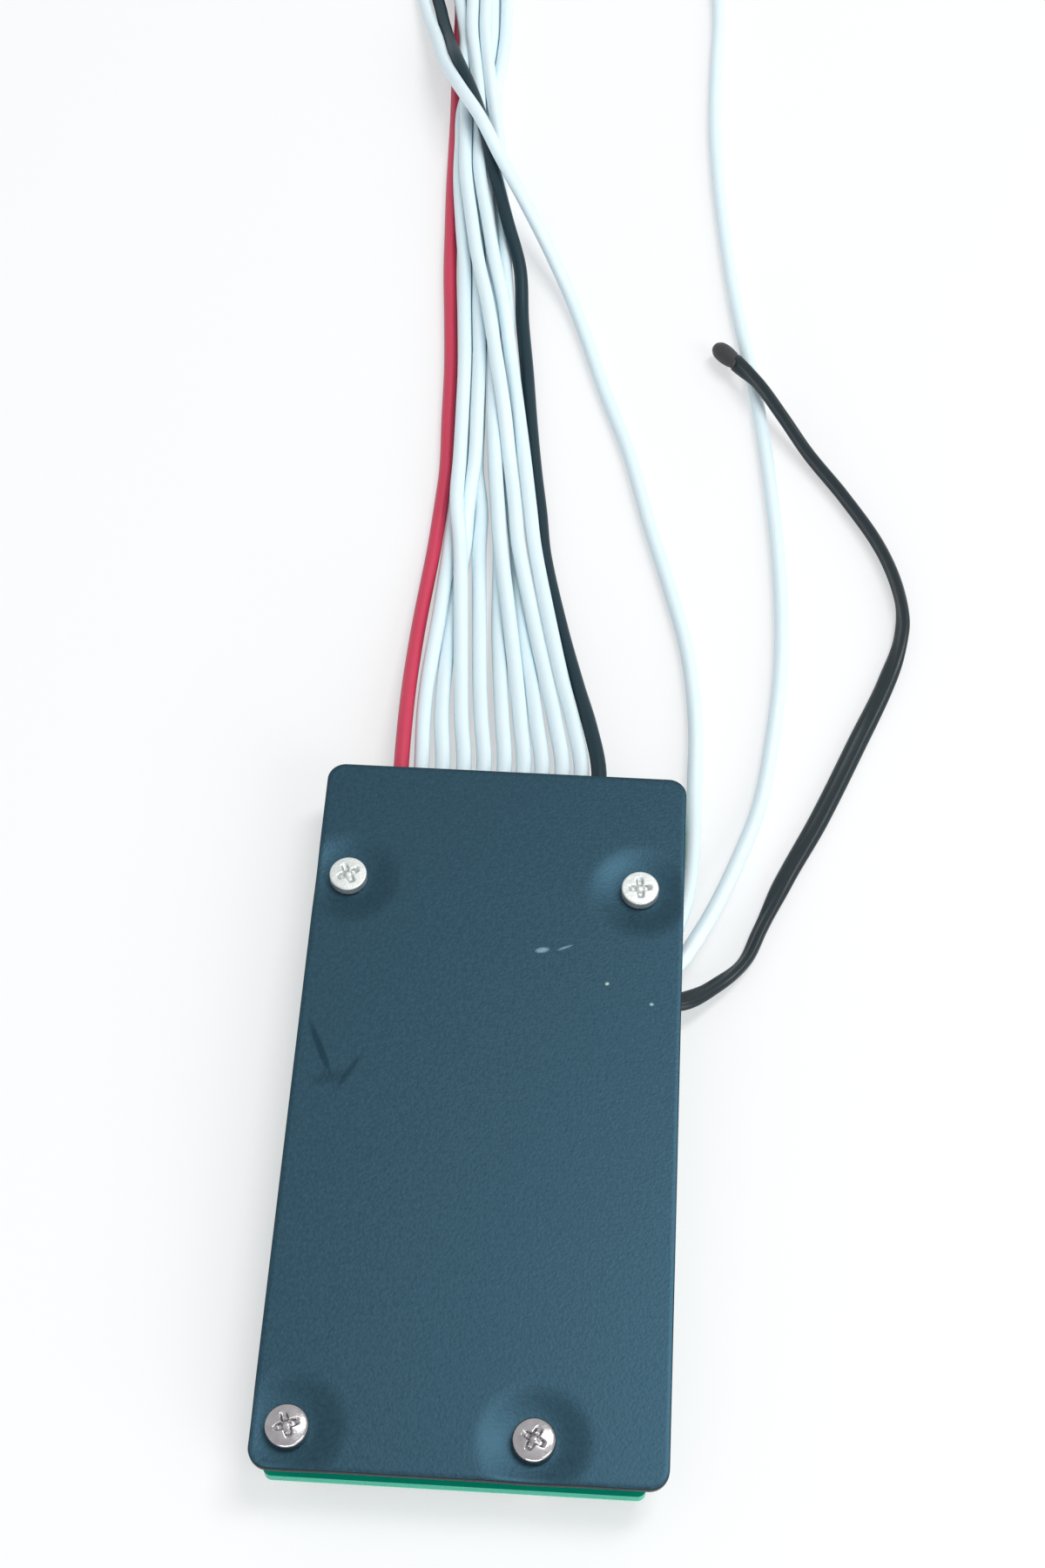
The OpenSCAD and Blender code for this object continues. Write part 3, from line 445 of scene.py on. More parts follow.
STATIONS = [
    [33, [-11, 4], [-9, 4], [-7, 4], [-5, 4], [-3, 4], [-1, 4],
     [1, 4], [3, 4], [5, 4], [7, 4], [9, 4]],
    [38, [-11.2, 4], [-9.1, 4], [-6.9, 4], [-4.7, 4], [-2.6, 4], [-0.5, 4],
     [1.5, 4], [3.4, 4], [5.5, 4], [7.5, 4], [9.3, 4]],
    [44, [-11.3, 3.6], [-9.4, 3.6], [-7.5, 3.6], [-5.4, 3.6], [-3.3, 3.6], [-1.1, 3.6],
     [0.8, 3.6], [2.5, 3.6], [4.5, 3.6], [6.4, 3.6], [8.1, 3.5]],
    [50, [-11.3, 2.6], [-9.4, 2.8], [-7.7, 2.4], [-5.9, 3], [-3.9, 2.6], [-1.7, 2.4],
     [0, 2.8], [1.6, 2.3], [3.2, 2.9], [4.9, 3], [6.5, 2.3]],
    [58, [-11, 1.6], [-8.9, 2.2], [-7.6, 1], [-6.5, 2.4], [-4.5, 1.8], [-2.4, 1.2],
     [-1.2, 2.5], [0.2, 1.2], [1.4, 2.4], [3.1, 2.6], [4.4, 1.4]],
    [68, [-10.3, 0.9], [-8.6, 0.9], [-6.9, 0.9], [-7.3, 2.5], [-5.2, 0.9], [-2.9, 0.9],
     [-2.8, 2.5], [-1, 0.9], [-0.8, 2.5], [1, 2.2], [2.1, 0.9]],
    [74, [-10, 0.8], [-8.4, 0.8], [-6.8, 1.9], [-8.1, 2.95], [-5.4, 0.8], [-3.5, 0.8],
     [-3.5, 2.45], [-1.8, 0.8], [-1.6, 2.45], [0.1, 2.3], [1.3, 0.9]],
    [80, [-9.8, 0.8], [-8.1, 0.8], [-6.5, 2.45], [-8.2, 2.6], [-6.3, 0.8], [-4.2, 0.8],
     [-4.2, 2.45], [-2.5, 0.8], [-2.5, 2.5], [-0.8, 2.4], [0.4, 0.9]],
    [87, [-10.1, 0.8], [-8.4, 0.8], [-6.7, 2.5], [-8.4, 2.5], [-6.6, 0.8], [-4.8, 0.8],
     [-4.8, 2.45], [-3, 0.8], [-3.6, 3.6], [-1.9, 2.4], [-0.5, 0.9]],
    [95, [-10.4, 0.8], [-8.7, 0.8], [-7, 2.5], [-8.7, 2.5], [-7, 0.8], [-5.3, 0.8],
     [-5.3, 2.45], [-3.6, 0.8], [-5.1, 4.1], [-3.2, 2.4], [-1.4, 0.9]],
    [103, [-11, 0.8], [-9.1, 0.8], [-7.6, 2.5], [-9.3, 2.45], [-7.4, 0.8], [-5.7, 0.8],
     [-5.9, 2.45], [-4.1, 1.3], [-6.6, 4.15], [-4.6, 3.6], [-2.4, 0.9]],
    [110, [-11.6, 0.8], [-9.5, 0.8], [-8.1, 2.45], [-9.8, 2.4], [-7.8, 0.8], [-6.1, 0.8],
     [-6.4, 2.5], [-4.8, 1.7], [-8.2, 4.1], [-6.2, 4.1], [-3.1, 2.35]],
    [117, [-12, 0.8], [-10.1, 0.8], [-8.95, 2.4], [-10.65, 2.4], [-8.4, 0.8], [-6.7, 0.8],
     [-7.3, 2.4], [-5.4, 1.75], [-9.45, 3.95], [-7.55, 4], [-5.1, 3.4]],
    [125, [-12.4, 0.8], [-10.7, 0.8], [-9.85, 2.3], [-11.5, 2.3], [-9, 0.8], [-7.3, 0.8],
     [-8.15, 2.25], [-6.4, 2.2], [-10.7, 3.8], [-9, 3.8], [-7.2, 4]],
    [131, [-12.6, 0.8], [-10.9, 0.8], [-10.05, 2.25], [-11.75, 2.25], [-9.2, 0.8], [-7.5, 0.8],
     [-8.35, 2.25], [-7, 3.2], [-11.1, 3.8], [-9.4, 3.75], [-8.8, 5.25]],
    [137, [-12.8, 0.8], [-11.1, 0.8], [-10.25, 2.25], [-11.95, 2.25], [-9.4, 0.8], [-7.75, 0.8],
     [-8.6, 2.25], [-8.1, 3.85], [-11.5, 3.95], [-9.8, 3.9], [-10.7, 5.45]],
    [143, [-13.1, 0.8], [-11.4, 0.8], [-9.4, 2.4], [-11, 2.4], [-9.75, 0.8], [-8.05, 0.8],
     [-7.7, 2.4], [-9, 4], [-12.3, 3.7], [-10.6, 4], [-13, 5.2]],
    [150, [-13.4, 0.8], [-11.7, 0.8], [-9.05, 2.3], [-10.75, 2.3], [-9.9, 0.8], [-8.2, 0.8],
     [-7.35, 2.3], [-9.9, 3.75], [-12.5, 2.5], [-11.6, 3.85], [-14.7, 2.5]],
    [156, [-13.6, 0.8], [-11.9, 0.8], [-9.3, 2.3], [-11, 2.3], [-10.1, 0.8], [-8.4, 0.8],
     [-7.5, 2.3], [-10.2, 3.75], [-13.5, 2.5], [-11.9, 3.75], [-16.1, 1.4]],
    [162, [-13.8, 0.8], [-12.1, 0.8], [-9.55, 2.3], [-11.25, 2.3], [-10.4, 0.8], [-8.7, 0.8],
     [-7.7, 2.3], [-10.4, 3.75], [-14.5, 2.35], [-12.1, 3.75], [-17, 1]],
    [169, [-11.35, 0.9], [-9.65, 0.9], [-7.75, 2.5], [-9.45, 2.5], [-7.95, 0.9], [-6.25, 0.9],
     [-5.95, 2.5], [-7.75, 4.1], [-11.35, 3.6], [-9.45, 4.1], [-13.55, 2.4]],
    [176, [-8.4, 1], [-6.7, 1], [-5.8, 2.5], [-7.5, 2.5], [-5, 1], [-3.3, 1],
     [-4.1, 2.5], [-4.9, 4.05], [-8.3, 4.05], [-6.6, 4.05], [-10.1, 3.1]],
    [183, [-5.75, 1.15], [-4.05, 1.15], [-3.15, 2.65], [-4.85, 2.65], [-2.35, 1.15], [-0.65, 1.15],
     [-1.45, 2.65], [-1.45, 4.2], [-4.85, 4.2], [-3.15, 4.2], [-6.7, 3.7]],
    [190, [-4.8, 1.3], [-3.1, 1.3], [-2.25, 2.77], [-3.95, 2.77], [-1.4, 1.3], [0.3, 1.3],
     [-0.55, 2.77], [0.3, 4.24], [-3.1, 4.24], [-1.4, 4.24], [-4.8, 4.24]],
]
SIDE_ROUTES = [
    [[14.6, 16.6, 4], [15.6, 16.7, 4], [16.8, 18, 4], [17.8, 20.6, 3.9], [18.7, 24.4, 3.4],
     [19.2, 30, 2.4], [19.3, 38, 1.3], [19.3, 46.5, 0.9], [18.3, 55.5, 0.8], [16.3, 63.7, 0.8],
     [13.6, 73.2, 0.8], [11, 83.2, 0.8], [7.9, 92.3, 0.8], [3.8, 105, 1.2], [0.5, 112.3, 2.8],
     [-3.2, 119.3, 4.6], [-6.4, 125.3, 5.7], [-9.3, 131, 6.8], [-12.2, 136.5, 6.5],
     [-14.5, 142.5, 4.9],
     [-16.1, 149, 3.2], [-18, 156, 1.5], [-19, 162, 1], [-16.3, 169, 1.2], [-11.4, 176, 1.5],
     [-7.9, 182.5, 2.2], [-6.15, 186.5, 2.5], [-5.65, 190, 2.77]],
    [[14.6, 14.4, 4], [15.8, 14.5, 4], [17.8, 16, 4], [19.4, 18.7, 3.8], [21.6, 23.4, 3],
     [24.1, 30.2, 1.8], [26.2, 37, 1], [27.6, 46, 0.8], [28.4, 55, 0.8], [28.3, 66, 0.8],
     [27.3, 78.5, 0.8], [25.5, 93, 0.8], [23.3, 105.5, 0.8], [22.1, 114, 0.8], [20.8, 126, 0.8],
     [20.1, 137, 0.8], [20.1, 148, 0.8], [20.3, 158, 0.8], [19.7, 164, 0.8], [17.5, 169, 0.8],
     [14.3, 172.6, 0.9], [10.7, 175.4, 1.1], [7.1, 178, 1.4], [3.9, 181.6, 1.9], [1.8, 185.8, 2.4],
     [1.15, 190, 2.77]],
]
SENSOR_ROUTE = [
    [14.6, 12.1, 3.8], [15.8, 12.1, 3.8], [17.4, 12.3, 3.6], [18.9, 12.8, 3.1],
    [21.6, 15, 1.9], [24.6, 18.2, 1.2], [26.2, 22, 1.1], [28.7, 28, 1], [32.3, 35.5, 0.8],
    [36.5, 45.4, 0.7], [39.8, 53.4, 0.8], [41.5, 59.5, 1.1], [41.4, 64.5, 1.2], [39.4, 71, 1.2],
    [35.5, 78, 1.2], [31.5, 83.8, 1.5], [28.5, 88.4, 2.4], [25.6, 92.8, 3], [23, 96.4, 2.4],
]
SENSOR_ROLL = [0, 0, 0, 10, 35, 60, 55, 20, 5, 0, 20, 55, 85, 90, 90, 90, 90, 90, 60]
BEAD_END = Vector((20.6, 99.6, 1.5))
BEAD_PROFILE = [
    (0, -0.4), (0.62, -0.4), (0.75, -0.1), (0.85, 0.3), (1.0, 0.9), (1.08, 1.6),
    (1.1, 2.2), (1.06, 2.8), (0.95, 3.3), (0.7, 3.75), (0.35, 3.96), (0, 4.0),
]

LEAD_R = 0.8
HANK_X, HANK_Y, WAIST_Y = -6.5, 190, 208
HALF_GAP, NECK_R, FOLD_R = 0.85, 20, 4.8
WAIST_ANGLE = math.acos((HALF_GAP + NECK_R) / (NECK_R + FOLD_R))
BARE = 3


def slope(p, i):
    """The curve's direction at a route point, per millimetre."""
    a, b = max(i - 1, 0), min(i + 1, len(p) - 1)
    return (p[b] - p[a]) / ((p[i] - p[a]).length + (p[b] - p[i]).length)


def smooth_line(route, extra=None, step=0.9):
    """Points along a smooth curve through the route, and extra values eased along with it."""
    p = [Vector(q) for q in route]
    line, values = [], []
    for i in range(len(p) - 1):
        d = (p[i + 1] - p[i]).length
        m0, m1 = slope(p, i) * d, slope(p, i + 1) * d
        n = max(1, round(d / step))
        for k in range(n):
            u = k / n
            line.append(
                (2 * u**3 - 3 * u * u + 1) * p[i] + (u**3 - 2 * u * u + u) * m0
                + (3 * u * u - 2 * u**3) * p[i + 1] + (u**3 - u * u) * m1
            )
            if extra:
                e = (1 - math.cos(math.pi * u)) / 2
                values.append(extra[i] + (extra[i + 1] - extra[i]) * e)
    line.append(p[-1])
    if extra:
        values.append(extra[-1])
    return line, values


def hank_line(start):
    """The rest of a lead: up one side of the hank, round its fold and back down."""
    offset = start.x - HANK_X - HALF_GAP
    z = start.z
    line = [Vector((start.x, HANK_Y + 1.5 * k, z)) for k in range(1, 12)]
    neck, fold = [], []
    for k in range(13):
        t = WAIST_ANGLE * k / 12
        r = NECK_R - offset
        neck.append((HALF_GAP + NECK_R - r * math.cos(t), WAIST_Y + r * math.sin(t)))
    middle = WAIST_Y + (NECK_R + FOLD_R) * math.sin(WAIST_ANGLE)
    for k in range(1, 40):
        t = -WAIST_ANGLE + (math.pi + 2 * WAIST_ANGLE) * k / 40
        fold.append(((FOLD_R + offset) * math.cos(t), middle + (FOLD_R + offset) * math.sin(t)))
    loop = neck + fold + [(-x, y) for x, y in reversed(neck)]
    line += [Vector((HANK_X + x, y, z)) for x, y in loop]
    line += [Vector((HANK_X - HALF_GAP - offset, WAIST_Y - 1.5 * k, z)) for k in range(1, 13)]
    return line


def bare_end(name, tip):
    """The tinned strands at a lead's free end: a slightly twisted rope of wires."""
    made = Builder()
    strands, turns, steps, sides = 6, 1.2, 12, 8
    spread, strand_r = 0.26, 0.14
    for s in range(strands):
        points = []
        for k in range(steps + 1):
            a = 2 * math.pi * (s / strands + turns * k / steps)
            for j in range(sides):
                b = 2 * math.pi * j / sides
                points.append((
                    spread * math.cos(a) + strand_r * math.cos(b),
                    -BARE * k / steps,
                    spread * math.sin(a) + strand_r * math.sin(b),
                ))
        faces = ring_faces(steps + 1, sides)
        faces.append(tuple(steps * sides + j for j in range(sides)))
        made.add(points, faces, at=tip)
    return made.build(name, ["solder"], smooth=True)


def lead(name, node, line, material):
    """A round lead from its joint to its free end in the hank."""
    line = line + hank_line(line[-1])
    curve = bpy.data.curves.new(name, "CURVE")
    curve.dimensions = "3D"
    curve.bevel_depth = LEAD_R * MM
    curve.bevel_resolution = 5
    curve.use_fill_caps = True
    spline = curve.splines.new("POLY")
    spline.points.add(len(line) - 1)
    for point, place in zip(spline.points, line):
        point.co = (*(place * MM), 1)
    spline.use_smooth = True
    curve.materials.append(M[material])
    obj = bpy.data.objects.new(name, curve)
    bpy.context.scene.collection.objects.link(obj)
    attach(obj, "root")
    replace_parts(obj, node)
    end = bare_end(name + "_bare_end", line[-1])
    return obj, end


# ---------------------------------------------------------------- the tie round the hank


def hank_tie():
    """A nylon band round both runs, with its head and a short cut tail on top."""
    made = Builder()
    half_w, low, top, r = 8.95, 0.0, 5.54, 1.2
    middle_z, half_h = (low + top) / 2, (top - low) / 2
    ring = []
    for cx, cz, a0 in ((1, 1, 0), (-1, 1, 90), (-1, -1, 180), (1, -1, 270)):
        for k in range(7):
            a = math.radians(a0 + 15 * k)
            ring.append((
                HANK_X + cx * (half_w - r) + r * math.cos(a),
                middle_z + cz * (half_h - r) + r * math.sin(a),
            ))
    n = len(ring)
    points = []
    for y in (HANK_Y + 6.75, HANK_Y + 9.25):
        for shrink in (0, 0.5):
            for x, z in ring:
                dx, dz = x - HANK_X, z - middle_z
                k = 1 - shrink / math.hypot(dx, dz)
                points.append((HANK_X + dx * k if abs(dx) > 7 else x,
                               y, z if abs(dx) > 8 else middle_z + dz * (1 - shrink / abs(dz))))
    faces = []
    for i in range(n):
        j = (i + 1) % n
        faces += [(i, j, 2 * n + j, 2 * n + i), (n + j, n + i, 3 * n + i, 3 * n + j),
                  (j, i, n + i, n + j), (2 * n + i, 2 * n + j, 3 * n + j, 3 * n + i)]
    made.add(points, faces)
    made.box(4.4, 5, 3.0, HANK_X, HANK_Y + 8, top, top=0.9)
    made.box(1.6, 2.8, 0.5, HANK_X - 2.9, HANK_Y + 8, top + 1)
    for k in range(6):
        made.box(0.5, 1.7, 0.12, HANK_X + 3.2 + 0.8 * k, HANK_Y + 8, top)
    tie = made.build("hank_tie_band", ["black_nylon"])
    soften(tie, 0.15)
    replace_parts(tie, "hank_tie")
    return tie


# ---------------------------------------------------------------- the sensor's flat lead


def sensor_section(sides=20):
    """Two round wires side by side with a groove between them."""
    w, t = 1.05, 0.55
    out = []
    for k in range(sides):
        a = 2 * math.pi * k / sides
        x, y = w * math.cos(a), t * math.sin(a)
        squeeze = 1 - 0.3 * math.exp(-((x / 0.28) ** 2))
        fat = 1 + 0.12 * math.exp(-(((abs(x) - 0.6) / 0.3) ** 2))
        out.append((x, max(-t, min(t, y * squeeze * fat))))
    return out


def sensor():
    line, roll = smooth_line(SENSOR_ROUTE, SENSOR_ROLL, step=0.5)
    section = sensor_section()
    n = len(section)
    points = []
    for i, c in enumerate(line):
        a, b = line[max(i - 1, 0)], line[min(i + 1, len(line) - 1)]
        ahead = (b - a).normalized()
        if i == 0:
            ahead = Vector((1, 0, 0))
        side = ahead.cross(Vector((0, 0, 1))).normalized()
        over = side.cross(ahead)
        turn = math.radians(roll[i])
        for x, y in section:
            points.append(
                c + side * (x * math.cos(turn) - y * math.sin(turn))
                + over * (x * math.sin(turn) + y * math.cos(turn))
            )
    faces = ring_faces(len(line), n)
    faces += [tuple(reversed(range(n))), tuple((len(line) - 1) * n + k for k in range(n))]
    cable = add_mesh("sensor_cable", points, faces, ["black_vinyl"], smooth=True)
    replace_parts(cable, "sensor_lead")

    start = line[-1]
    axis = (BEAD_END - start).normalized()
    made = Builder()
    made.lathe(BEAD_PROFILE, sides=32)
    swing = Vector((0, 0, 1)).rotation_difference(axis).to_matrix()
    made.points = [start + swing @ Vector(p) for p in made.points]
    bead = made.build("sensor_tip", ["black_epoxy"], smooth=True)
    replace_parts(bead, "sensor_bead")


tie = hank_tie()
for k in range(11):
    route = [(row[1 + k][0], row[0], row[1 + k][1]) for row in STATIONS]
    line, _ = smooth_line(route)
    material = {0: "red_silicone", 10: "black_silicone"}.get(k, "white_silicone")
    obj, end = lead(f"lead_{k + 1}", f"sense_lead_{k + 1}", line, material)
    if k == 0:
        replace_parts(end, "bare_ends")
    if k == 5:
        hank_owner = obj
for k, route in enumerate(SIDE_ROUTES):
    line, _ = smooth_line(route)
    lead(f"side_{k + 1}", f"side_lead_{k + 1}", line, "white_silicone")
sensor()

# ---------------------------------------------------------------- heat plate

PLATE_W, PLATE_L, PLATE_T, PLATE_Z, CORNER_R = 36.5, 71.5, 1.0, 6.0, 1.8
SCREWS = [(-15, 22.6), (13.9, 22.6), (-15, -32.2), (6.45, -32.2)]
DIP, DIMPLE_R, SEAT_R = 0.4, 5.4, 1.95


def sheet_drop(x, y):
    """How far a screw pulls the sheet down at a point, in millimetres."""
    drop = 0
    for sx, sy in SCREWS:
        r = math.hypot(x - sx, y - sy)
        if r < DIMPLE_R:
            u = max(0, (r - SEAT_R) / (DIMPLE_R - SEAT_R))
            drop = max(drop, DIP * (1 + math.cos(math.pi * u)) / 2)
    return drop


def into_corner(x, y, w, l, r):
    """Bends a rectangle's grid so that its corners are round."""
    ax, ay = abs(x) - (w / 2 - r), abs(y) - (l / 2 - r)
    if ax <= 0 or ay <= 0:
        return x, y
    a, b = ax / r, ay / r
    reach = max(a, b) * r
    turn = math.pi / 4 * b / a if a >= b else math.pi / 2 - math.pi / 4 * a / b
    return (
        math.copysign(w / 2 - r + reach * math.cos(turn), x),
        math.copysign(l / 2 - r + reach * math.sin(turn), y),
    )


def heat_plate():
    """The sheet with its dimples and finely broken edges, as one closed mesh."""
    edge = 0.12
    nx, ny = 92, 180
    layers = [
        (edge, PLATE_T),
        (edge * 0.3, PLATE_T - edge * 0.3),
        (0, PLATE_T - edge),
        (0, edge),
        (edge * 0.3, edge * 0.3),
        (edge, 0),
    ]

    def place(i, j, inset, z):
        w, l = PLATE_W - 2 * inset, PLATE_L - 2 * inset
        x, y = into_corner(w * (i / nx - 0.5), l * (j / ny - 0.5), w, l, CORNER_R - inset)
        return x, y, PLATE_Z + z - sheet_drop(x, y)

    rim = [(i, 0) for i in range(nx)] + [(nx, j) for j in range(ny)]
    rim += [(i, ny) for i in range(nx, 0, -1)] + [(0, j) for j in range(ny, 0, -1)]
    points, faces = [], []
    for inset, z in (layers[0], layers[-1]):
        points += [place(i, j, inset, z) for j in range(ny + 1) for i in range(nx + 1)]
    row = nx + 1
    sheet_n = row * (ny + 1)
    for j in range(ny):
        for i in range(nx):
            a = j * row + i
            faces.append((a, a + 1, a + row + 1, a + row))
            faces.append(tuple(sheet_n + v for v in (a, a + row, a + row + 1, a + 1)))
    rings = [[j * row + i for i, j in rim]]
    for inset, z in layers[1:-1]:
        base = len(points)
        points += [place(i, j, inset, z) for i, j in rim]
        rings.append([base + k for k in range(len(rim))])
    rings.append([sheet_n + v for v in rings[0]])
    n = len(rim)
    for upper, lower in zip(rings, rings[1:]):
        faces += [(upper[k], lower[k], lower[(k + 1) % n], upper[(k + 1) % n]) for k in range(n)]
    plate = add_mesh("plate", points, faces, ["black_anodised"], smooth=True)
    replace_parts(plate, "heat_plate")


heat_plate()

# ---------------------------------------------------------------- screws

SEAT_Z = PLATE_Z + PLATE_T - DIP
THREAD_R, ROOT_R, THREAD_PITCH = 1.0, 0.86, 0.4
CROSS_DEPTH, MIDDLE_RISE = 0.42, 0.25


def cross_depth(x, y, turn):
    """Depth of the cross recess at a point of the head: four arms round a shallow middle."""
    c, s = math.cos(turn), math.sin(turn)
    x, y = x * c + y * s, -x * s + y * c
    deep = 0
    for u, v in ((abs(x), abs(y)), (abs(y), abs(x))):
        half = 0.34 - 0.1 * u
        side = min(1, max(0, (half + 0.1 - v) / 0.2))
        end = min(1, max(0, (1.2 - u) / 0.45))
        deep = max(deep, side * end)
    middle = MIDDLE_RISE * math.exp(-(((x * x + y * y) / 0.16) ** 2))
    return (CROSS_DEPTH - middle) * deep


def screw(index, x, y, turn, head_r, head_h, dome, round_r, material):
    """A pan head screw, with its edge rounded by round_r and its crown falling by dome."""
    rings, sides = 44, 96
    points, faces = [], []
    for i in range(rings + 1):
        r = head_r * (1 - (1 - i / rings) ** 1.3)
        over = max(0, r - (head_r - round_r))
        edge = round_r - math.sqrt(max(0, round_r**2 - over**2))
        for k in range(sides):
            a = 2 * math.pi * k / sides
            px, py = r * math.cos(a), r * math.sin(a)
            crown = head_h - dome * (r / head_r) ** 2.2 - edge
            points.append((x + px, y + py, SEAT_Z + crown - cross_depth(px, py, turn)))
    for i in range(rings):
        for k in range(sides):
            j = (k + 1) % sides
            a, b = i * sides, (i + 1) * sides
            faces.append((a + k, b + k, b + j, a + j))
    side = [(head_r, 0.12), (head_r - 0.12, 0), (THREAD_R, 0)]
    z = 0.0
    while z > -5.9:
        if z < -1.2:
            side += [(THREAD_R, z - 0.1), (ROOT_R, z - 0.3)]
        side.append((THREAD_R, z - THREAD_PITCH))
        z -= THREAD_PITCH
    side += [(THREAD_R, -6.3), (0.85, -6.55), (0, -6.55)]
    last = rings * sides
    for r, h in side:
        base = len(points)
        for k in range(sides):
            a = 2 * math.pi * k / sides
            points.append((x + r * math.cos(a), y + r * math.sin(a), SEAT_Z + h))
        for k in range(sides):
            j = (k + 1) % sides
            faces.append((last + k, base + k, base + j, last + j))
        last = base
    obj = add_mesh(f"screw_{index}", points, faces, [material], smooth=True)
    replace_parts(obj, f"plate_screw_{index}")
    smooth_sharp(obj, 40)


def smooth_sharp(obj, angle):
    """Smooth shading that keeps edges sharper than the angle."""
    mesh = obj.data
    limit = math.radians(angle)
    work = bmesh.new()
    work.from_mesh(mesh)
    for e in work.edges:
        if len(e.link_faces) == 2 and e.calc_face_angle(0) > limit:
            e.smooth = False
    work.to_mesh(mesh)
    work.free()


screw(1, *SCREWS[0], 0.5, 1.85, 1.15, 0.06, 0.16, "nickel_dull")
screw(2, *SCREWS[1], 0.1, 1.85, 1.15, 0.06, 0.16, "nickel_dull")
screw(3, *SCREWS[2], 0.35, 1.95, 1.35, 0.3, 0.3, "nickel_worn")
screw(4, *SCREWS[3], 1.1, 1.95, 1.35, 0.3, 0.3, "nickel_worn")
for n in range(1, 5):
    soften(frame["nodes"][f"hex_nut_{n}"], 0.1, 2)

# ---------------------------------------------------------------- power transistors

BOARD_X, BOARD_LOW, BOARD_TOP = -0.4, 1.6, 3.2
FET_W, FET_L, FET_H, FET_PITCH, FET_ROW, FET_Y = 6.6, 6.1, 2.3, 7.4, 14, -9.75
PACKAGE = ["black_epoxy", "solder"]


def power_fet(index):
    """A transistor with its metal tab and two formed legs."""
    row, column = divmod(index, 4)
    made = Builder()
    place = {
        "turn": 180 * row,
        "at": (BOARD_X + (column - 1.5) * FET_PITCH, FET_Y + (0.5 - row) * FET_ROW, BOARD_TOP),
    }
    made.box(FET_W, FET_L, 1.1, z=0.1, **place)
    made.box(FET_W, FET_L, FET_H - 1.2, z=1.2, top=0.94, **place)
    made.box(5.3, 7.1, 0.5, y=0.5, slot=1, **place)
    made.box(4.3, 0.5, 0.5, y=4.0, slot=1, **place)
    for x in (-2.3, 2.3):
        made.leg(x, -2.75, 3.0, 0.5, 0.8, 0.5, out=-90, slot=1, **place)
    made.box(0.8, 0.5, 0.5, y=-3.25, z=0.5, slot=1, **place)
    obj = made.build(f"transistor_{index + 1}", PACKAGE)
    soften(obj, 0.08, 2)
    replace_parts(obj, f"power_fet_{index + 1}")


for n in range(8):
    power_fet(n)

# ---------------------------------------------------------------- parts under the board


def hang(x, y, turn=0):
    return {"at": (x, y, BOARD_LOW), "turn": turn, "under": True}


def chip(node, x, y, turn, w, l, h, pins, pitch, reach, leg_w, leg_t, sides):
    """A flat package with gull legs on two or four sides and a moulded pin 1 dot."""
    made = Builder()
    place = hang(x, y, turn)
    made.box(w - 0.06, l - 0.06, h / 2 - 0.1, z=0.1, **place)
    made.box(w, l, 0.12, z=h / 2 - 0.06, **place)
    made.box(w - 0.06, l - 0.06, h / 2, z=h / 2, top=0.96, **place)
    made.lathe([(0, h), (0.32, h), (0.32, h + 0.012), (0, h + 0.012)], sides=20,
               at=(x - w / 2 + 0.9, y - l / 2 + 0.9, BOARD_LOW), under=True)
    for out in sides:
        for k in range(pins):
            c, s = math.cos(math.radians(out)), math.sin(math.radians(out))
            u, v = w / 2 - 0.1, (k - (pins - 1) / 2) * pitch
            made.leg(u * c - v * s, u * s + v * c, reach + 0.1, 0.5, leg_w, leg_t,
                     out=out, slot=1, **place)
    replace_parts(made.build(node + "_body", PACKAGE), node)


MONITOR_X, MONITOR_Y = -3.4, 8.4
DRIVER_X, DRIVER_Y = 8.6, 5.2
chip("monitor_chip", MONITOR_X, MONITOR_Y, 0, 7, 7, 1.15, pins=12, pitch=0.5, reach=1.0,
     leg_w=0.28, leg_t=0.15, sides=(0, 90, 180, 270))
chip("gate_driver", DRIVER_X, DRIVER_Y, 90, 3.9, 4.9, 1.4, pins=4, pitch=1.27, reach=1.0,
     leg_w=0.42, leg_t=0.2, sides=(0, 180))


def end_capped(made, x, y, turn, w, l, h, cap):
    """A chip resistor or capacitor: its body, then a metal cap and a solder fillet at each end."""
    place = hang(x, y, turn)
    made.box(w - 0.04, l - 2 * cap, h - 0.05, z=0.03, **place)
    for side in (-1, 1):
        made.box(w, cap, h, y=side * (l - cap) / 2, slot=1, **place)
        made.box(w + 0.1, 0.36, h * 0.55, y=side * (l / 2 + 0.1), slot=1, top=0.8, **place)


def capped_row(node, places, size, materials):
    made = Builder()
    for x, y, turn in places:
        end_capped(made, x, y, turn, *size)
    obj = made.build(node + "_bodies", materials)
    soften(obj, 0.05, 1)
    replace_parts(obj, node)


RESISTOR = ["resistor_black", "solder"]
SHUNT_X, SHUNT_Y, BALANCE_Y = [-1.4 + n * FET_PITCH for n in (-1, 0, 1)], -23.4, 25.9
for n, x in enumerate(SHUNT_X):
    capped_row(f"current_shunt_{n + 1}", [(x, SHUNT_Y, 90)], (3.2, 6.3, 0.65, 0.9), RESISTOR)
BALANCE = [BOARD_X + (k - 4.5) * 2.1 for k in range(10)]
capped_row("balance_resistors", [(x, BALANCE_Y, 0) for x in BALANCE], (1.6, 3.2, 0.6, 0.4),
           RESISTOR)
SMALL = [(-8.8 + 2.2 * k, 15.1, 90) for k in range(8)]
SMALL += [(-11, 12.4 - 2 * k, 90) for k in range(5)]
SMALL += [(12.4, 7.4 - 2 * k, 90) for k in range(4)]
capped_row("small_resistors", SMALL, (0.8, 1.6, 0.45, 0.3), RESISTOR)
CAPS = [(3.2, 12 - 2.2 * k, 90) for k in range(4)] + [(-13.6, 12 - 2.4 * k, 90) for k in range(3)]
